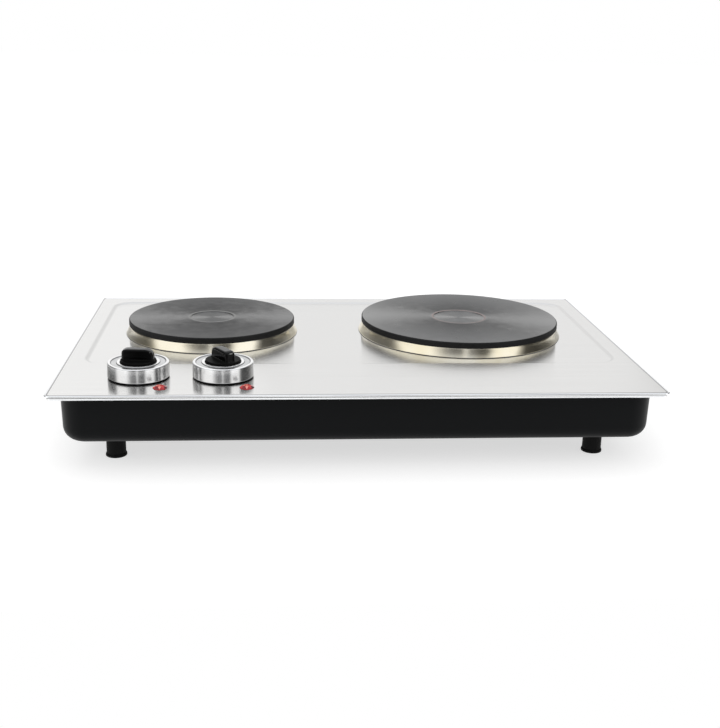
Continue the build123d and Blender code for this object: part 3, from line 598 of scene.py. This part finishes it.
for side, (knob_x, knob_y) in knob_spots.items():
    control_holes.append(circle((knob_x, knob_y), spindle_hole, 32))
    control_holes.append(circle((knob_x, knob_y - frame_reach), frame_hole, 16))
    control_holes.append(circle((knob_x, knob_y + frame_reach), frame_hole, 16))
    control_holes.append(circle(lamp_spots[side], lamp_hole, 32))
plate_holes = [circle((x, y), radius - plate_hole_margin, 160) for x, y, radius in plate_spots.values()]
recess_top_loop = inset_loop(-guard, *recess_place)
recess_floor_loop = inset_loop(recess_slope + guard, *recess_place)
top_holes = [recess_top_loop, *control_holes]
deck_parts = [
    flipped(*carried(*edge_profile, *deck_place)),
    carried(slope_inset, slope_height, *recess_place),
    flipped(*carried(slope_inset, slope_height - deck_gauge, *recess_place)),
    flat_sheet(inset_loop(valley_inset[0], *deck_place), top_holes, deck_top, 1),
    flat_sheet(inset_loop(under_start, *deck_place), top_holes, deck_top - deck_gauge, -1),
    flat_sheet(recess_floor_loop, plate_holes, recess_floor, 1),
    flat_sheet(recess_floor_loop, plate_holes, recess_floor - deck_gauge, -1),
]
deck_parts += [hole_wall(loop, deck_top - deck_gauge, deck_top) for loop in control_holes]
deck_parts += [hole_wall(loop, recess_floor - deck_gauge, recess_floor) for loop in plate_holes]
deck_points, deck_faces = joined(*deck_parts)


def draw_grain(material, amount):
    """Stretches reflections along the first direction of the piece's own map, as a brushed or turned
    surface does across its marks."""
    along = add_node(material, "Tangent", direction_type="UV_MAP", uv_map="turning")
    drive(material, "Tangent", along.outputs["Tangent"])
    sockets(material)["Anisotropic"].default_value = amount


def shade(material, feeds, values):
    """Multiplies the surface's colour by another colour. Feeds and values give that colour, B, and the
    factor."""
    color = sockets(material)["Base Color"].links[0].from_socket
    product = add_node(
        material, "Mix", {"A": color, **feeds}, values, data_type="RGBA", blend_type="MULTIPLY")
    drive(material, "Base Color", product.outputs["Result"])


def edge_distance(spots):
    """How far points lie inside the deck's edge, seen from above."""
    return np.minimum(deck_half_x - np.abs(spots[:, 0]), deck_half_y - np.abs(spots[:, 1]))


def face_middles(piece):
    """The middle of each face of a piece, one row each."""
    middles = np.empty(len(piece.data.polygons) * 3)
    piece.data.polygons.foreach_get("center", middles)
    return middles.reshape(-1, 3)


def paint_faces(piece, materials, choice):
    """Adds materials to a piece and gives each face the one that its choice counts to, with 0 for the
    piece's first material."""
    for material in materials:
        piece.data.materials.append(material)
    piece.data.polygons.foreach_set("material_index", choice.astype(np.int32))


brushed = {"detail": 6, "stretch": (1, 260, 1)}
steel_colors = ((0.745, 0.74, 0.73), (0.805, 0.80, 0.79))
steel = surface("brushed_stainless", 6, steel_colors, (0.17, 0.20), metallic=1, **brushed)
# The deck's colour is multiplied darker by a per-point value: painted shade in its pressed creases.
steel_crease_shade = add_node(steel, "Attribute", attribute_name="crease_shade")
shade(steel, {"Factor": steel_crease_shade.outputs["Fac"]}, {"B": (0.50, 0.50, 0.51, 1)})
emboss(steel, 0.005, 0.1 * mm, 6, **brushed)
draw_grain(steel, 0.85)
# The marks run along the deck, so the map's first direction is front to back, and down over the edges.
edge_side = np.sign(deck_points[:, 1]) * (np.abs(deck_points[:, 1]) > deck_half_y - valley_inset[0])
deck_run = deck_points[:, 1] - edge_side * (deck_points[:, 2] - deck_top)
deck_uv = np.stack((deck_run, deck_points[:, 0]), axis=-1)
deck = put_piece("deck_sheet", deck_points, deck_faces, steel, uv=deck_uv, flat_sheets=True)
# Painted shade darkens the steel in the pressed creases: on the recess's slope and in the valley beside the
# bead.
bead_width = 1.6 * mm
band_width = 2.2 * mm
edge_zone = 8 * mm
slope_shade_depth = 0.96
valley_start = 0.05
valley_end = 0.25
spots = np.empty(len(deck.data.vertices) * 3)
deck.data.vertices.foreach_get("co", spots)
spots = spots.reshape(-1, 3)
sunk = np.clip((deck_top - spots[:, 2]) / recess_sink, 0, 1)
border = edge_distance(spots)
in_valley = (border > bead_width) & (sunk > valley_start) & (sunk < valley_end)
pressed_shade = np.where(border > edge_zone, slope_shade_depth * sunk * (1 - sunk), in_valley)
crease_shade = deck.data.attributes.new("crease_shade", "FLOAT", "POINT")
crease_shade.data.foreach_set("value", pressed_shade.astype(np.float32))
# Painted shade and painted reflection darken the fold under the bead, most of it at the end with the knobs.
shade_fade_end = 0.12
shade_noise_share = 0.25
fold_shade_stops = ((0, (0.03, 0.028, 0.03)), (1, (0.62, 0.62, 0.63)))
fold = blank("fold_painted_shade", (0.05, 0.048, 0.05), 0.6)
fold_place = add_node(fold, "TexCoord")
fold_axes = add_node(fold, "SeparateXYZ", {0: fold_place.outputs["Object"]})
fold_fade = add_node(fold, "MapRange", {"Value": fold_axes.outputs["X"]}, {"From Max": shade_fade_end})
fold_shade_level = add_node(
    fold, "Math", {0: grain(fold, 40, 6), 2: fold_fade.outputs[0]}, {1: shade_noise_share}, operation="MULTIPLY_ADD")
drive(fold, "Base Color", add_ramp(fold, fold_shade_level.outputs[0], fold_shade_stops))
# The bead and the foot of the band are painted lighter and bluer than the sheet: a painted highlight, on a
# smoother finish.
edge_highlight = surface("edge_painted_highlight", 30, ((0.90, 0.915, 0.93), (0.95, 0.96, 0.97)), (0.13, 0.18), metallic=1)
fold_start = 0.06
fold_end = 0.94
middles = face_middles(deck)
drop = (fold_top - middles[:, 2]) / fold_height
in_fold = (drop > fold_start) & (drop < fold_end)
border = edge_distance(middles)
on_edge = (border < bead_width) | ((border < band_width) & (drop > fold_end))
# The fold's faces take the painted shade; the bead and the foot of the band take the painted highlight.
paint_faces(deck, (fold, edge_highlight), np.where(in_fold, 1, 2 * on_edge))
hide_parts("top_plate")
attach(deck, "base")

# Plates: grey iron castings, turned on top in fine rings with a sunk middle, and left black as cast
# round the rim. Ring grooves underneath hold the coils.
plate_shades = {"left": 0.135, "right": 0.19}
plate_zones = {
    "left": ((0, 0.95), (0.26, 0.90), (0.31, 0.36), (0.60, 0.46), (0.85, 0.62), (1, 0.75)),
    "right": ((0, 0.95), (0.26, 0.90), (0.31, 0.36), (0.60, 0.62), (0.85, 0.85), (1, 1.0)),
}
worn_colors = {"left": (0.19, 0.19, 0.185), "right": (0.25, 0.20, 0.19)}
cast = surface("black_casting", 520, (0.005, 0.010), (0.42, 0.62), specular=0.25)
emboss(cast, 0.35, 0.3 * mm, 520)
well_radii = {"left": 21.0 * mm, "right": 25.0 * mm}
well_sink = 0.7 * mm
well_round = 0.5 * mm
well_slope = 1.5 * mm
well_margin = 0.4 * mm
well_lip = 0.3 * mm
well_land = 1.3 * mm
worn_half = 1.0 * mm
rim_round = 1.2 * mm
rim_under_round = 0.5 * mm
rim_height = 5.4 * mm
rim_overhang = 7 * mm
turned_shares = np.linspace(0.35, 0.97, 8)
turned_depth = 0.045 * rim_round
top_margin = 3 * mm
top_depth = 2 * mm
stud_bore = 4.1 * mm
stud_depth = 10.5 * mm
groove_first = 30 * mm
groove_pitch = 12 * mm
groove_half = 3.5 * mm
groove_depth = 8 * mm
groove_slack = 0.1 * mm
for side, (plate_x, plate_y, plate_radius) in plate_spots.items():
    level = plate_shades[side]
    iron = surface(
        f"{side}_turned_iron", 120, (0.74 * level, 1.26 * level), (0.27, 0.40), metallic=1, detail=9)
    # The colour is lighter in the sunk middle, darkest in a band just outside it, and lighter again towards
    # the rim.
    iron_map = add_node(iron, "UVMap", uv_map="turning")
    iron_axes = add_node(iron, "SeparateXYZ", {0: iron_map.outputs["UV"]})
    iron_reach = add_node(iron, "MapRange", {"Value": iron_axes.outputs["X"]}, {"From Max": plate_radius})
    shade(iron, {"B": add_ramp(iron, iron_reach.outputs[0], plate_zones[side])}, {"Factor": 1})
    emboss(iron, 0.08, 0.2 * mm, 420)
    draw_grain(iron, 0.95)
    worn = surface(f"{side}_worn_edge", 200, np.outer((0.85, 1.15), worn_colors[side]), 0.4, metallic=1)
    low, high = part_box(f"{side}_plate_casting")
    top = high[2]
    under = low[2]
    well = well_radii[side]
    body = plate_radius - rim_overhang
    rings = np.arange(groove_first, body - 2 * groove_half + groove_slack, groove_pitch)[::-1]
    grooves = [((r + groove_half, r + groove_half, r - groove_half, r - groove_half),
                (under, under + groove_depth, under + groove_depth, under)) for r in rings]
    radius, height = outline(
        (0, top - well_sink),
        (well - well_slope - well_margin, top - well_sink),
        arc((well - well_slope, top - well_sink + well_round), well_round, 270, 325, 4),
        arc((well - well_lip, top - well_round), well_round, 145, 90, 4),
        (well + well_land, top),
        (turned_shares * plate_radius, np.full(len(turned_shares), top)),
        arc((plate_radius - rim_round, top - rim_round), rim_round, 90, 75, 3),
        arc((plate_radius - rim_round, top - rim_round), rim_round, 75, 0, 7),
        arc((plate_radius - rim_under_round, top - rim_height + rim_under_round), rim_under_round, 0, -90, 4),
        (body, top - rim_height),
        (body, under),
        *grooves,
        (stud_bore, under),
        (stud_bore, under + stud_depth),
        (0, under + stud_depth),
    )
    points, faces, uv = turned(radius, height, (plate_x, plate_y), 288)
    casting = put_piece(f"{side}_plate", points, faces[:, ::-1], iron, uv=uv)
    middles = face_middles(casting)
    reach = np.hypot(*(middles[:, :2] - (plate_x, plate_y)).T)
    lower = middles[:, 2] < top - turned_depth
    inner = (reach < plate_radius - top_margin) & (middles[:, 2] > top - top_depth)
    worn_ring = inner & (np.abs(reach - well - well_lip) < worn_half)
    paint_faces(casting, (cast, worn), np.where(worn_ring, 2, lower & ~inner))
    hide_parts(f"{side}_plate_casting")
    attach(casting, "base")

# Trim rings: spun stainless, straw-tinted, with a lip gripped under the plate's rim and a cone that
# stands on the recess. A dark band at the cone's foot is painted shadow where it meets the deck.
straw_colors = ((0.81, 0.73, 0.53), (0.93, 0.895, 0.79))
straw = surface("straw_tinted_steel", 18, straw_colors, (0.16, 0.22), metallic=1, detail=3)
draw_grain(straw, 0.85)
# A dark grey material for the cone's foot: painted shadow where the ring meets the deck.
foot_shadow = surface("ring_foot_painted_shadow", 600, ((0.03, 0.028, 0.026), (0.07, 0.066, 0.06)), 0.6)
foot_shadow_height = 0.55 * mm
trim_gauge = 0.7 * mm
trim_flare = 2.8 * mm
trim_tuck = 0.6 * mm
trim_lip = 5.6 * mm
trim_round = 0.4 * mm
trim_curl = 0.35 * mm
trim_foot = 0.3 * mm
trim_foot_draw = 0.12 * mm
for side, (plate_x, plate_y, plate_radius) in plate_spots.items():
    low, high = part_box(f"{side}_trim_ring")
    foot = low[2]
    seat = high[2]
    shoulder = plate_radius - trim_tuck
    skirt_end = plate_radius + trim_flare
    fall = np.linspace(0.08, 0.92, 10)
    curl = trim_curl * np.sin(math.pi * fall)
    radius, height = outline(
        (shoulder - trim_lip, seat),
        (shoulder - trim_round, seat),
        arc((shoulder - trim_round, seat - trim_round), trim_round, 80, 30, 4),
        (shoulder + (skirt_end - shoulder) * fall - curl, seat + (foot - seat) * fall),
        (skirt_end - trim_foot_draw, foot + foot_shadow_height),
        (skirt_end, foot + trim_foot),
        (skirt_end, foot),
        (skirt_end - trim_gauge, foot),
        (shoulder - trim_gauge, seat - trim_gauge),
        (shoulder - trim_lip, seat - trim_gauge),
        (shoulder - trim_lip, seat),
    )
    points, faces, uv = turned(radius, height, (plate_x, plate_y), 288)
    trim = put_piece(f"{side}_trim", points, faces[:, ::-1], straw, uv=uv)
    # The bottom of the cone takes the dark material: painted shadow at its foot.
    paint_faces(trim, (foot_shadow,), face_middles(trim)[:, 2] < foot + foot_shadow_height)
    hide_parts(f"{side}_trim_ring")
    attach(trim, "base")

# Heating coils, mineral board, ceramic blocks and brass terminals: the working parts under each plate
# and in each thermostat, out of sight under the deck, with sleeved wires between them.
coil = surface("resistance_wire", 900, ((0.25, 0.23, 0.21), (0.50, 0.48, 0.45)), 0.5, metallic=1, detail=1)
board = surface("mineral_board", 240, ((0.70, 0.67, 0.60), (0.84, 0.82, 0.77)), 0.9)
emboss(board, 0.4, 0.3 * mm, 240)
steatite = surface("steatite", 600, ((0.80, 0.77, 0.70), (0.88, 0.86, 0.81)), 0.45)
brass = surface("brass", 300, ((0.66, 0.50, 0.24), (0.82, 0.67, 0.38)), 0.3, metallic=1)
moulding = surface("ivory_moulding", 500, ((0.71, 0.68, 0.58), (0.78, 0.75, 0.66)), 0.5)
for side in sides:
    dress(coil, [f"{side}_heating_coils"])
    dress(board, [f"{side}_insulation_disc"])
    dress(steatite, [f"{side}_plate_terminals", f"{side}_thermostat_stack"])
    dress(brass, [f"{side}_plate_pins", f"{side}_thermostat_blades"])
dress(brass, ["terminal_screws", "earth_terminal"])
dress(moulding, ["terminal_strip"])
sleeve_colors = {
    "live_wires": (0.22, 0.11, 0.05),
    "switched_wires": (0.45, 0.05, 0.04),
    "neutral_wires": (0.05, 0.14, 0.42),
    "earth_wire": (0.10, 0.38, 0.10),
}
for name, color in sleeve_colors.items():
    dress(surface(f"{name}_sleeve", 1500, np.outer((0.8, 1.1), color), 0.55, detail=2), [name])

# Cord bush: a black nylon gland snapped into the pan's rear wall, flanged outside and collared inside,
# with a lead-in at the mouth of its bore.
nylon = surface("black_nylon", 800, (0.015, 0.028), 0.5)
emboss(nylon, 0.2, 0.2 * mm, 800)
bush_low, bush_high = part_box("cord_bush")
bush_x = (bush_low[0] + bush_high[0]) / 2
bush_z = (bush_low[2] + bush_high[2]) / 2
bush_inner = bush_low[1]
bush_outer = bush_high[1]
bush_flange = (bush_high[0] - bush_low[0]) / 2
bush_bore = 3.8 * mm
bush_neck = 7 * mm
bush_collar = 9 * mm
collar_round = 0.6 * mm
flange_round = 1 * mm
flange_start = bush_outer - 2.2 * mm
collar_end = bush_inner + 4.4 * mm
radius, reach = outline(
    (bush_bore, bush_inner),
    arc((bush_collar - collar_round, bush_inner + collar_round), collar_round, 270, 360, 5),
    (bush_collar, collar_end),
    (bush_neck, collar_end),
    (bush_neck, flange_start),
    (bush_flange, flange_start),
    arc((bush_flange - flange_round, bush_outer - flange_round), flange_round, 0, 90, 6),
    (bush_bore + flange_round, bush_outer),
    arc((bush_bore + flange_round, bush_outer - flange_round), flange_round, 90, 180, 6),
    (bush_bore, bush_inner),
)
points, faces, uv = turned(radius, reach, (0, 0), 96)
points = np.stack((bush_x + points[:, 0], points[:, 2], bush_z - points[:, 1]), axis=-1)
bush = put_piece("cord_gland", points, faces, nylon)
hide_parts("cord_bush")
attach(bush, "base")

# Pilot lamps: red moulded jewels with ground facets, pushed through the deck on hollow shanks and held
# by spring washers. A small neon bulb stands inside each.
# The ramp runs from near black through red to pink: painted reflections and glints over the jewel's red.
jewel_glint_stops = (
    (0, (0.012, 0.002, 0.010)),
    (0.30, (0.30, 0.004, 0.008)),
    (0.70, (0.60, 0.014, 0.015)),
    (1, (0.90, 0.36, 0.29)),
)
jewel = blank("red_jewel", (0.62, 0.012, 0.02), 0.08)
jewel_glint = add_node(jewel, "Attribute", attribute_name="glint")
drive(jewel, "Base Color", add_ramp(jewel, jewel_glint.outputs["Fac"], jewel_glint_stops))
neon = blank("neon_glass", (0.9, 0.85, 0.8), 0.08)
sockets(neon)["Transmission Weight"].default_value = 0.9
vary_roughness(neon, grain(neon, 300), 0.05, 0.15)
jewel_radius = 5.8 * mm
jewel_table = 3.2 * mm
jewel_ceiling = deck_top - 0.4 * mm
jewel_girdle = deck_top + 0.8 * mm
shank_radius = 4.4 * mm
shank_bore = 2.7 * mm
facets = 8
scatter_step = 12.9898
scatter_start = 1.3
scatter_scale = 43758.5453
for side, (lamp_x, lamp_y) in lamp_spots.items():
    low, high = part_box(f"{side}_pilot_lens")
    under = low[2]
    crown = high[2]
    radius, height = np.transpose((
        (0, jewel_ceiling),
        (shank_bore, jewel_ceiling),
        (shank_bore, under),
        (shank_radius, under),
        (shank_radius, deck_top),
        (jewel_radius, deck_top),
        (jewel_radius, jewel_girdle),
        (jewel_table, crown),
        (0, crown),
    ))
    # The flat top is turned half a facet against the girdle, which cuts the crown into triangles.
    twist = np.where(height == crown, math.pi / facets, 0)
    turn = np.linspace(0, 2 * math.pi, facets + 1)
    points = np.stack(np.broadcast_arrays(
        lamp_x + radius[:, None] * np.cos(turn + twist[:, None]),
        lamp_y + radius[:, None] * np.sin(turn + twist[:, None]),
        height[:, None],
    ), axis=-1).reshape(-1, 3)
    quads = grid_quads(len(radius), facets + 1)
    faces = np.concatenate((quads[:, [0, 1, 3]], quads[:, [1, 2, 3]]))
    lamp = put_piece(f"{side}_jewel", points, faces, jewel, sharp=4)
    # Each facet has its own painted reflection, from near black to a pink glint: the level is the fraction of
    # a large sine, which scatters from face to face.
    count = np.arange(len(lamp.data.polygons))
    scatter = np.sin(count * scatter_step + scatter_start) * scatter_scale % 1
    glint = lamp.data.attributes.new("glint", "FLOAT", "FACE")
    glint.data.foreach_set("value", scatter.astype(np.float32))
    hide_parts(f"{side}_pilot_lens")
    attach(lamp, "base")
    lamp.visible_glossy = False
    dress(neon, [f"{side}_pilot_bulb"])

# Knob skirts: spun aluminium caps, polished round the side, dished on top between a rolled rim and a
# rolled inner ring.
spun = {"detail": 4, "stretch": (1, 1, 60)}
alloy = surface("spun_aluminium", 30, (0.86, 0.93), (0.19, 0.22), metallic=1, **spun)
draw_grain(alloy, 0.9)
# The dished top is a satin finish, painted a darker grey than the side: partly its own finish, partly painted
# shade.
satin_and_shade_colors = ((0.52, 0.525, 0.53), (0.62, 0.625, 0.63))
satin_and_shade = surface("satin_aluminium_and_shade", 90, satin_and_shade_colors, (0.14, 0.20), metallic=1)
draw_grain(satin_and_shade, 0.4)
# The two steps on the top are painted dark grey: painted shade in their creases.
step_shade = surface("step_painted_shade", 90, ((0.27, 0.27, 0.275), (0.38, 0.38, 0.385)), 0.4, metallic=1)
skirt_rim = 3.0 * mm
skirt_ring = 2.8 * mm
ring_round = 0.55 * mm
skirt_dish = 0.6 * mm
skirt_gauge = 1.0 * mm
skirt_hole = 14.8 * mm
skirt_lean = 0.3 * mm
skirt_foot_round = 0.6 * mm
skirt_shoulder = 1 * mm
shoulder_margin = 0.2 * mm
step_round = 0.3 * mm
step_run = 0.5 * mm
step_margin = 0.4 * mm
dish_band = 0.2 * mm
step_depth = 0.1 * mm
outer_step_inset = 0.1 * mm
outer_step_half = 0.45 * mm
inner_step_inset = 0.15 * mm
inner_step_half = 0.35 * mm
for side, spot in knob_spots.items():
    low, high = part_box(f"{side}_knob_skirt")
    skirt_radius = (high[0] - low[0]) / 2
    skirt_under = low[2]
    skirt_top = high[2]
    dish = skirt_top - skirt_dish
    wall = skirt_radius - skirt_lean
    rim_inner = skirt_radius - skirt_rim
    ring_outer = skirt_hole + skirt_ring
    radius, height = outline(
        (skirt_radius - skirt_gauge, skirt_under),
        arc((skirt_radius - skirt_foot_round, skirt_under + skirt_foot_round), skirt_foot_round, 270, 360, 6),
        (wall, skirt_top - skirt_shoulder - shoulder_margin),
        arc((wall - skirt_shoulder, skirt_top - skirt_shoulder), skirt_shoulder, 0, 90, 8),
        (rim_inner + step_round, skirt_top),
        (rim_inner - step_run, dish),
        (rim_inner - step_run - step_margin, dish),
        (ring_outer + step_round, dish),
        (ring_outer, dish),
        arc((ring_outer - ring_round, skirt_top - ring_round), ring_round, 0, 90, 5),
        arc((skirt_hole + ring_round, skirt_top - ring_round), ring_round, 90, 180, 5),
        (skirt_hole, dish),
        (skirt_hole, dish - skirt_gauge),
        (skirt_radius - skirt_gauge, dish - skirt_gauge),
        (skirt_radius - skirt_gauge, skirt_under),
    )
    points, faces, uv = turned(radius, height, spot, 192)
    skirt = put_piece(f"{side}_skirt", points, faces, alloy, uv=uv)
    middles = face_middles(skirt)
    reach = np.hypot(*(middles[:, :2] - spot).T)
    dished = np.abs(middles[:, 2] - dish) < dish_band
    outer_step = np.abs(reach - rim_inner + outer_step_inset) < outer_step_half
    inner_step = np.abs(reach - ring_outer - inner_step_inset) < inner_step_half
    stepped = (outer_step | inner_step) & (middles[:, 2] > dish - step_depth)
    # The steps take the painted shade, and the dished top the darker satin grey, which is partly painted
    # shade.
    paint_faces(skirt, (satin_and_shade, step_shade), np.where(stepped, 2, dished))
    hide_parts(f"{side}_knob_skirt")
    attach(skirt, f"{side}_knob")

# Knob grips: one glossy black moulding each, with a cup under the skirt, a raised disc, a finger bar
# rounded off at its nose, and a hub on the spindle.
bakelite = surface("gloss_black_moulding", 120, (0.0012, 0.0026), (0.09, 0.15))
sockets(bakelite)["Specular Tint"].default_value = (0.2, 0.2, 0.2, 1)
matt = surface("matt_black_moulding", 900, (0.0012, 0.0026), (0.45, 0.6), specular=0.06)
core_wall = 1.5 * mm
core_outer = 24.2 * mm
core_base = 24.7 * mm
core_step = deck_top + 1.3 * mm
core_top = deck_top + 11.3 * mm
disc_radius = 14.5 * mm
disc_top = deck_top + 14.8 * mm
disc_round = 0.6 * mm
disc_margin = 0.8 * mm
hub_radius = 6.5 * mm
hub_start = deck_top + 2.6 * mm
bore_radius = 3.06 * mm
bore_end = deck_top + 12.3 * mm
bar_half_length = 13.0 * mm
bar_half_width = 4.5 * mm
bar_round = 2.0 * mm
bar_corner = 2.2 * mm
bar_nose = 6.5 * mm
bar_nose_start = 3 * mm
bar_root = 1.1 * mm
bar_sunk = 0.75 * mm
bar_tail = 4.0 * mm
bar_tail_draw = 0.8 * bar_tail
bar_crest_step = 0.4 * mm
bar_least_corner = 0.02 * mm
ellipse_share = 0.96
bar_matt = 0.7 * mm
nose_angles = {"left": -5.0, "right": 121.0}


def finger_bar(low, high, turn, spot):
    """Stacked loops up a bar: round-cornered rectangles that keep their width, whose nose end draws back
    along a quarter ellipse with height, then shrink over a rounded top edge to the middle line. Returns
    the bar and its closed foot, each as points and faces."""
    spread = np.radians(np.linspace(0, 90, 6))
    root = bar_root * (1 - np.sin(spread))
    root_height = low + bar_sunk + bar_root * (1 - np.cos(spread))
    wall = np.linspace(root_height[-1], high - bar_round, 9)[1:]
    over = np.radians(np.linspace(0, 90, 8))[1:]
    crest = high - bar_round + bar_round * np.sin(over)
    top_inset = bar_round * (1 - np.cos(over))
    flat_inset = np.linspace(bar_round + bar_crest_step, bar_half_width, 5)
    inset = np.concatenate(([-bar_root], -root, np.zeros(len(wall)), top_inset, flat_inset))
    height = np.concatenate(([low], root_height, wall, crest, np.full(len(flat_inset), high)))
    share = np.clip((height - low - bar_nose_start) / (high - low - bar_nose_start), 0, 1)
    nose = bar_nose * (1 - np.sqrt(1 - ellipse_share * share**2))
    back = np.clip((height - high + bar_tail) / bar_tail, 0, 1)
    tail = bar_tail_draw * (1 - np.sqrt(1 - ellipse_share * back**2))
    half_length = bar_half_length - (nose + tail) / 2
    corner = np.maximum(bar_corner - inset, bar_least_corner)
    loop = rounded_loop(half_length - inset, bar_half_width - inset, corner, steps=5)
    loop[:, :, 0] += (tail - nose)[:, None] / 2
    across = loop[:, :, 0] * math.cos(turn) - loop[:, :, 1] * math.sin(turn) + spot[0]
    along = loop[:, :, 0] * math.sin(turn) + loop[:, :, 1] * math.cos(turn) + spot[1]
    levels = np.broadcast_to(height[:, None], across.shape)
    points = np.stack((across, along, levels), axis=-1).reshape(-1, 3)
    foot_corners = across.shape[1] - 1
    foot = (points[:foot_corners], np.arange(foot_corners)[None, ::-1])
    return (points, grid_quads(*across.shape)), foot


glossy_grips = bpy.data.collections.new("glossy_grips")
for side, spot in knob_spots.items():
    low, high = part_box(f"{side}_knob_grip")
    core_under = low[2]
    radius, height = outline(
        (0, disc_top),
        (disc_radius - disc_margin, disc_top),
        arc((disc_radius - disc_round, disc_top - disc_round), disc_round, 90, 0, 6),
        (disc_radius, core_top),
        (core_outer, core_top),
        (core_outer, core_step),
        (core_base, core_step),
        (core_base, core_under),
        (core_outer - core_wall, core_under),
        (core_outer - core_wall, core_top - core_wall),
        (disc_radius - core_wall, core_top - core_wall),
        (disc_radius - core_wall, disc_top - core_wall),
        (hub_radius, disc_top - core_wall),
        (hub_radius, hub_start),
        (bore_radius, hub_start),
        (bore_radius, bore_end),
        (0, bore_end),
    )
    points, faces, uv = turned(radius, height, spot, 128)
    bar, foot = finger_bar(disc_top - bar_sunk, high[2], math.radians(nose_angles[side]), spot)
    grip = put_piece(f"{side}_grip", *joined((points, faces[:, ::-1]), bar, foot), bakelite)
    paint_faces(grip, (matt,), face_middles(grip)[:, 2] < disc_top + bar_matt)
    glossy_grips.objects.link(grip)
    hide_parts(f"{side}_knob_grip")
    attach(grip, f"{side}_knob")

# Glint lamp: a small square lamp on the right, above the deck's front. It is linked to the grips alone
# and puts the glints on their bars.
glint_lamp = area_lamp("glint_lamp", (0.76, -0.38, 0.92), (-0.15, -0.11, 0.09), 0.22, 9)
glint_lamp.light_linking.receiver_collection = glossy_grips
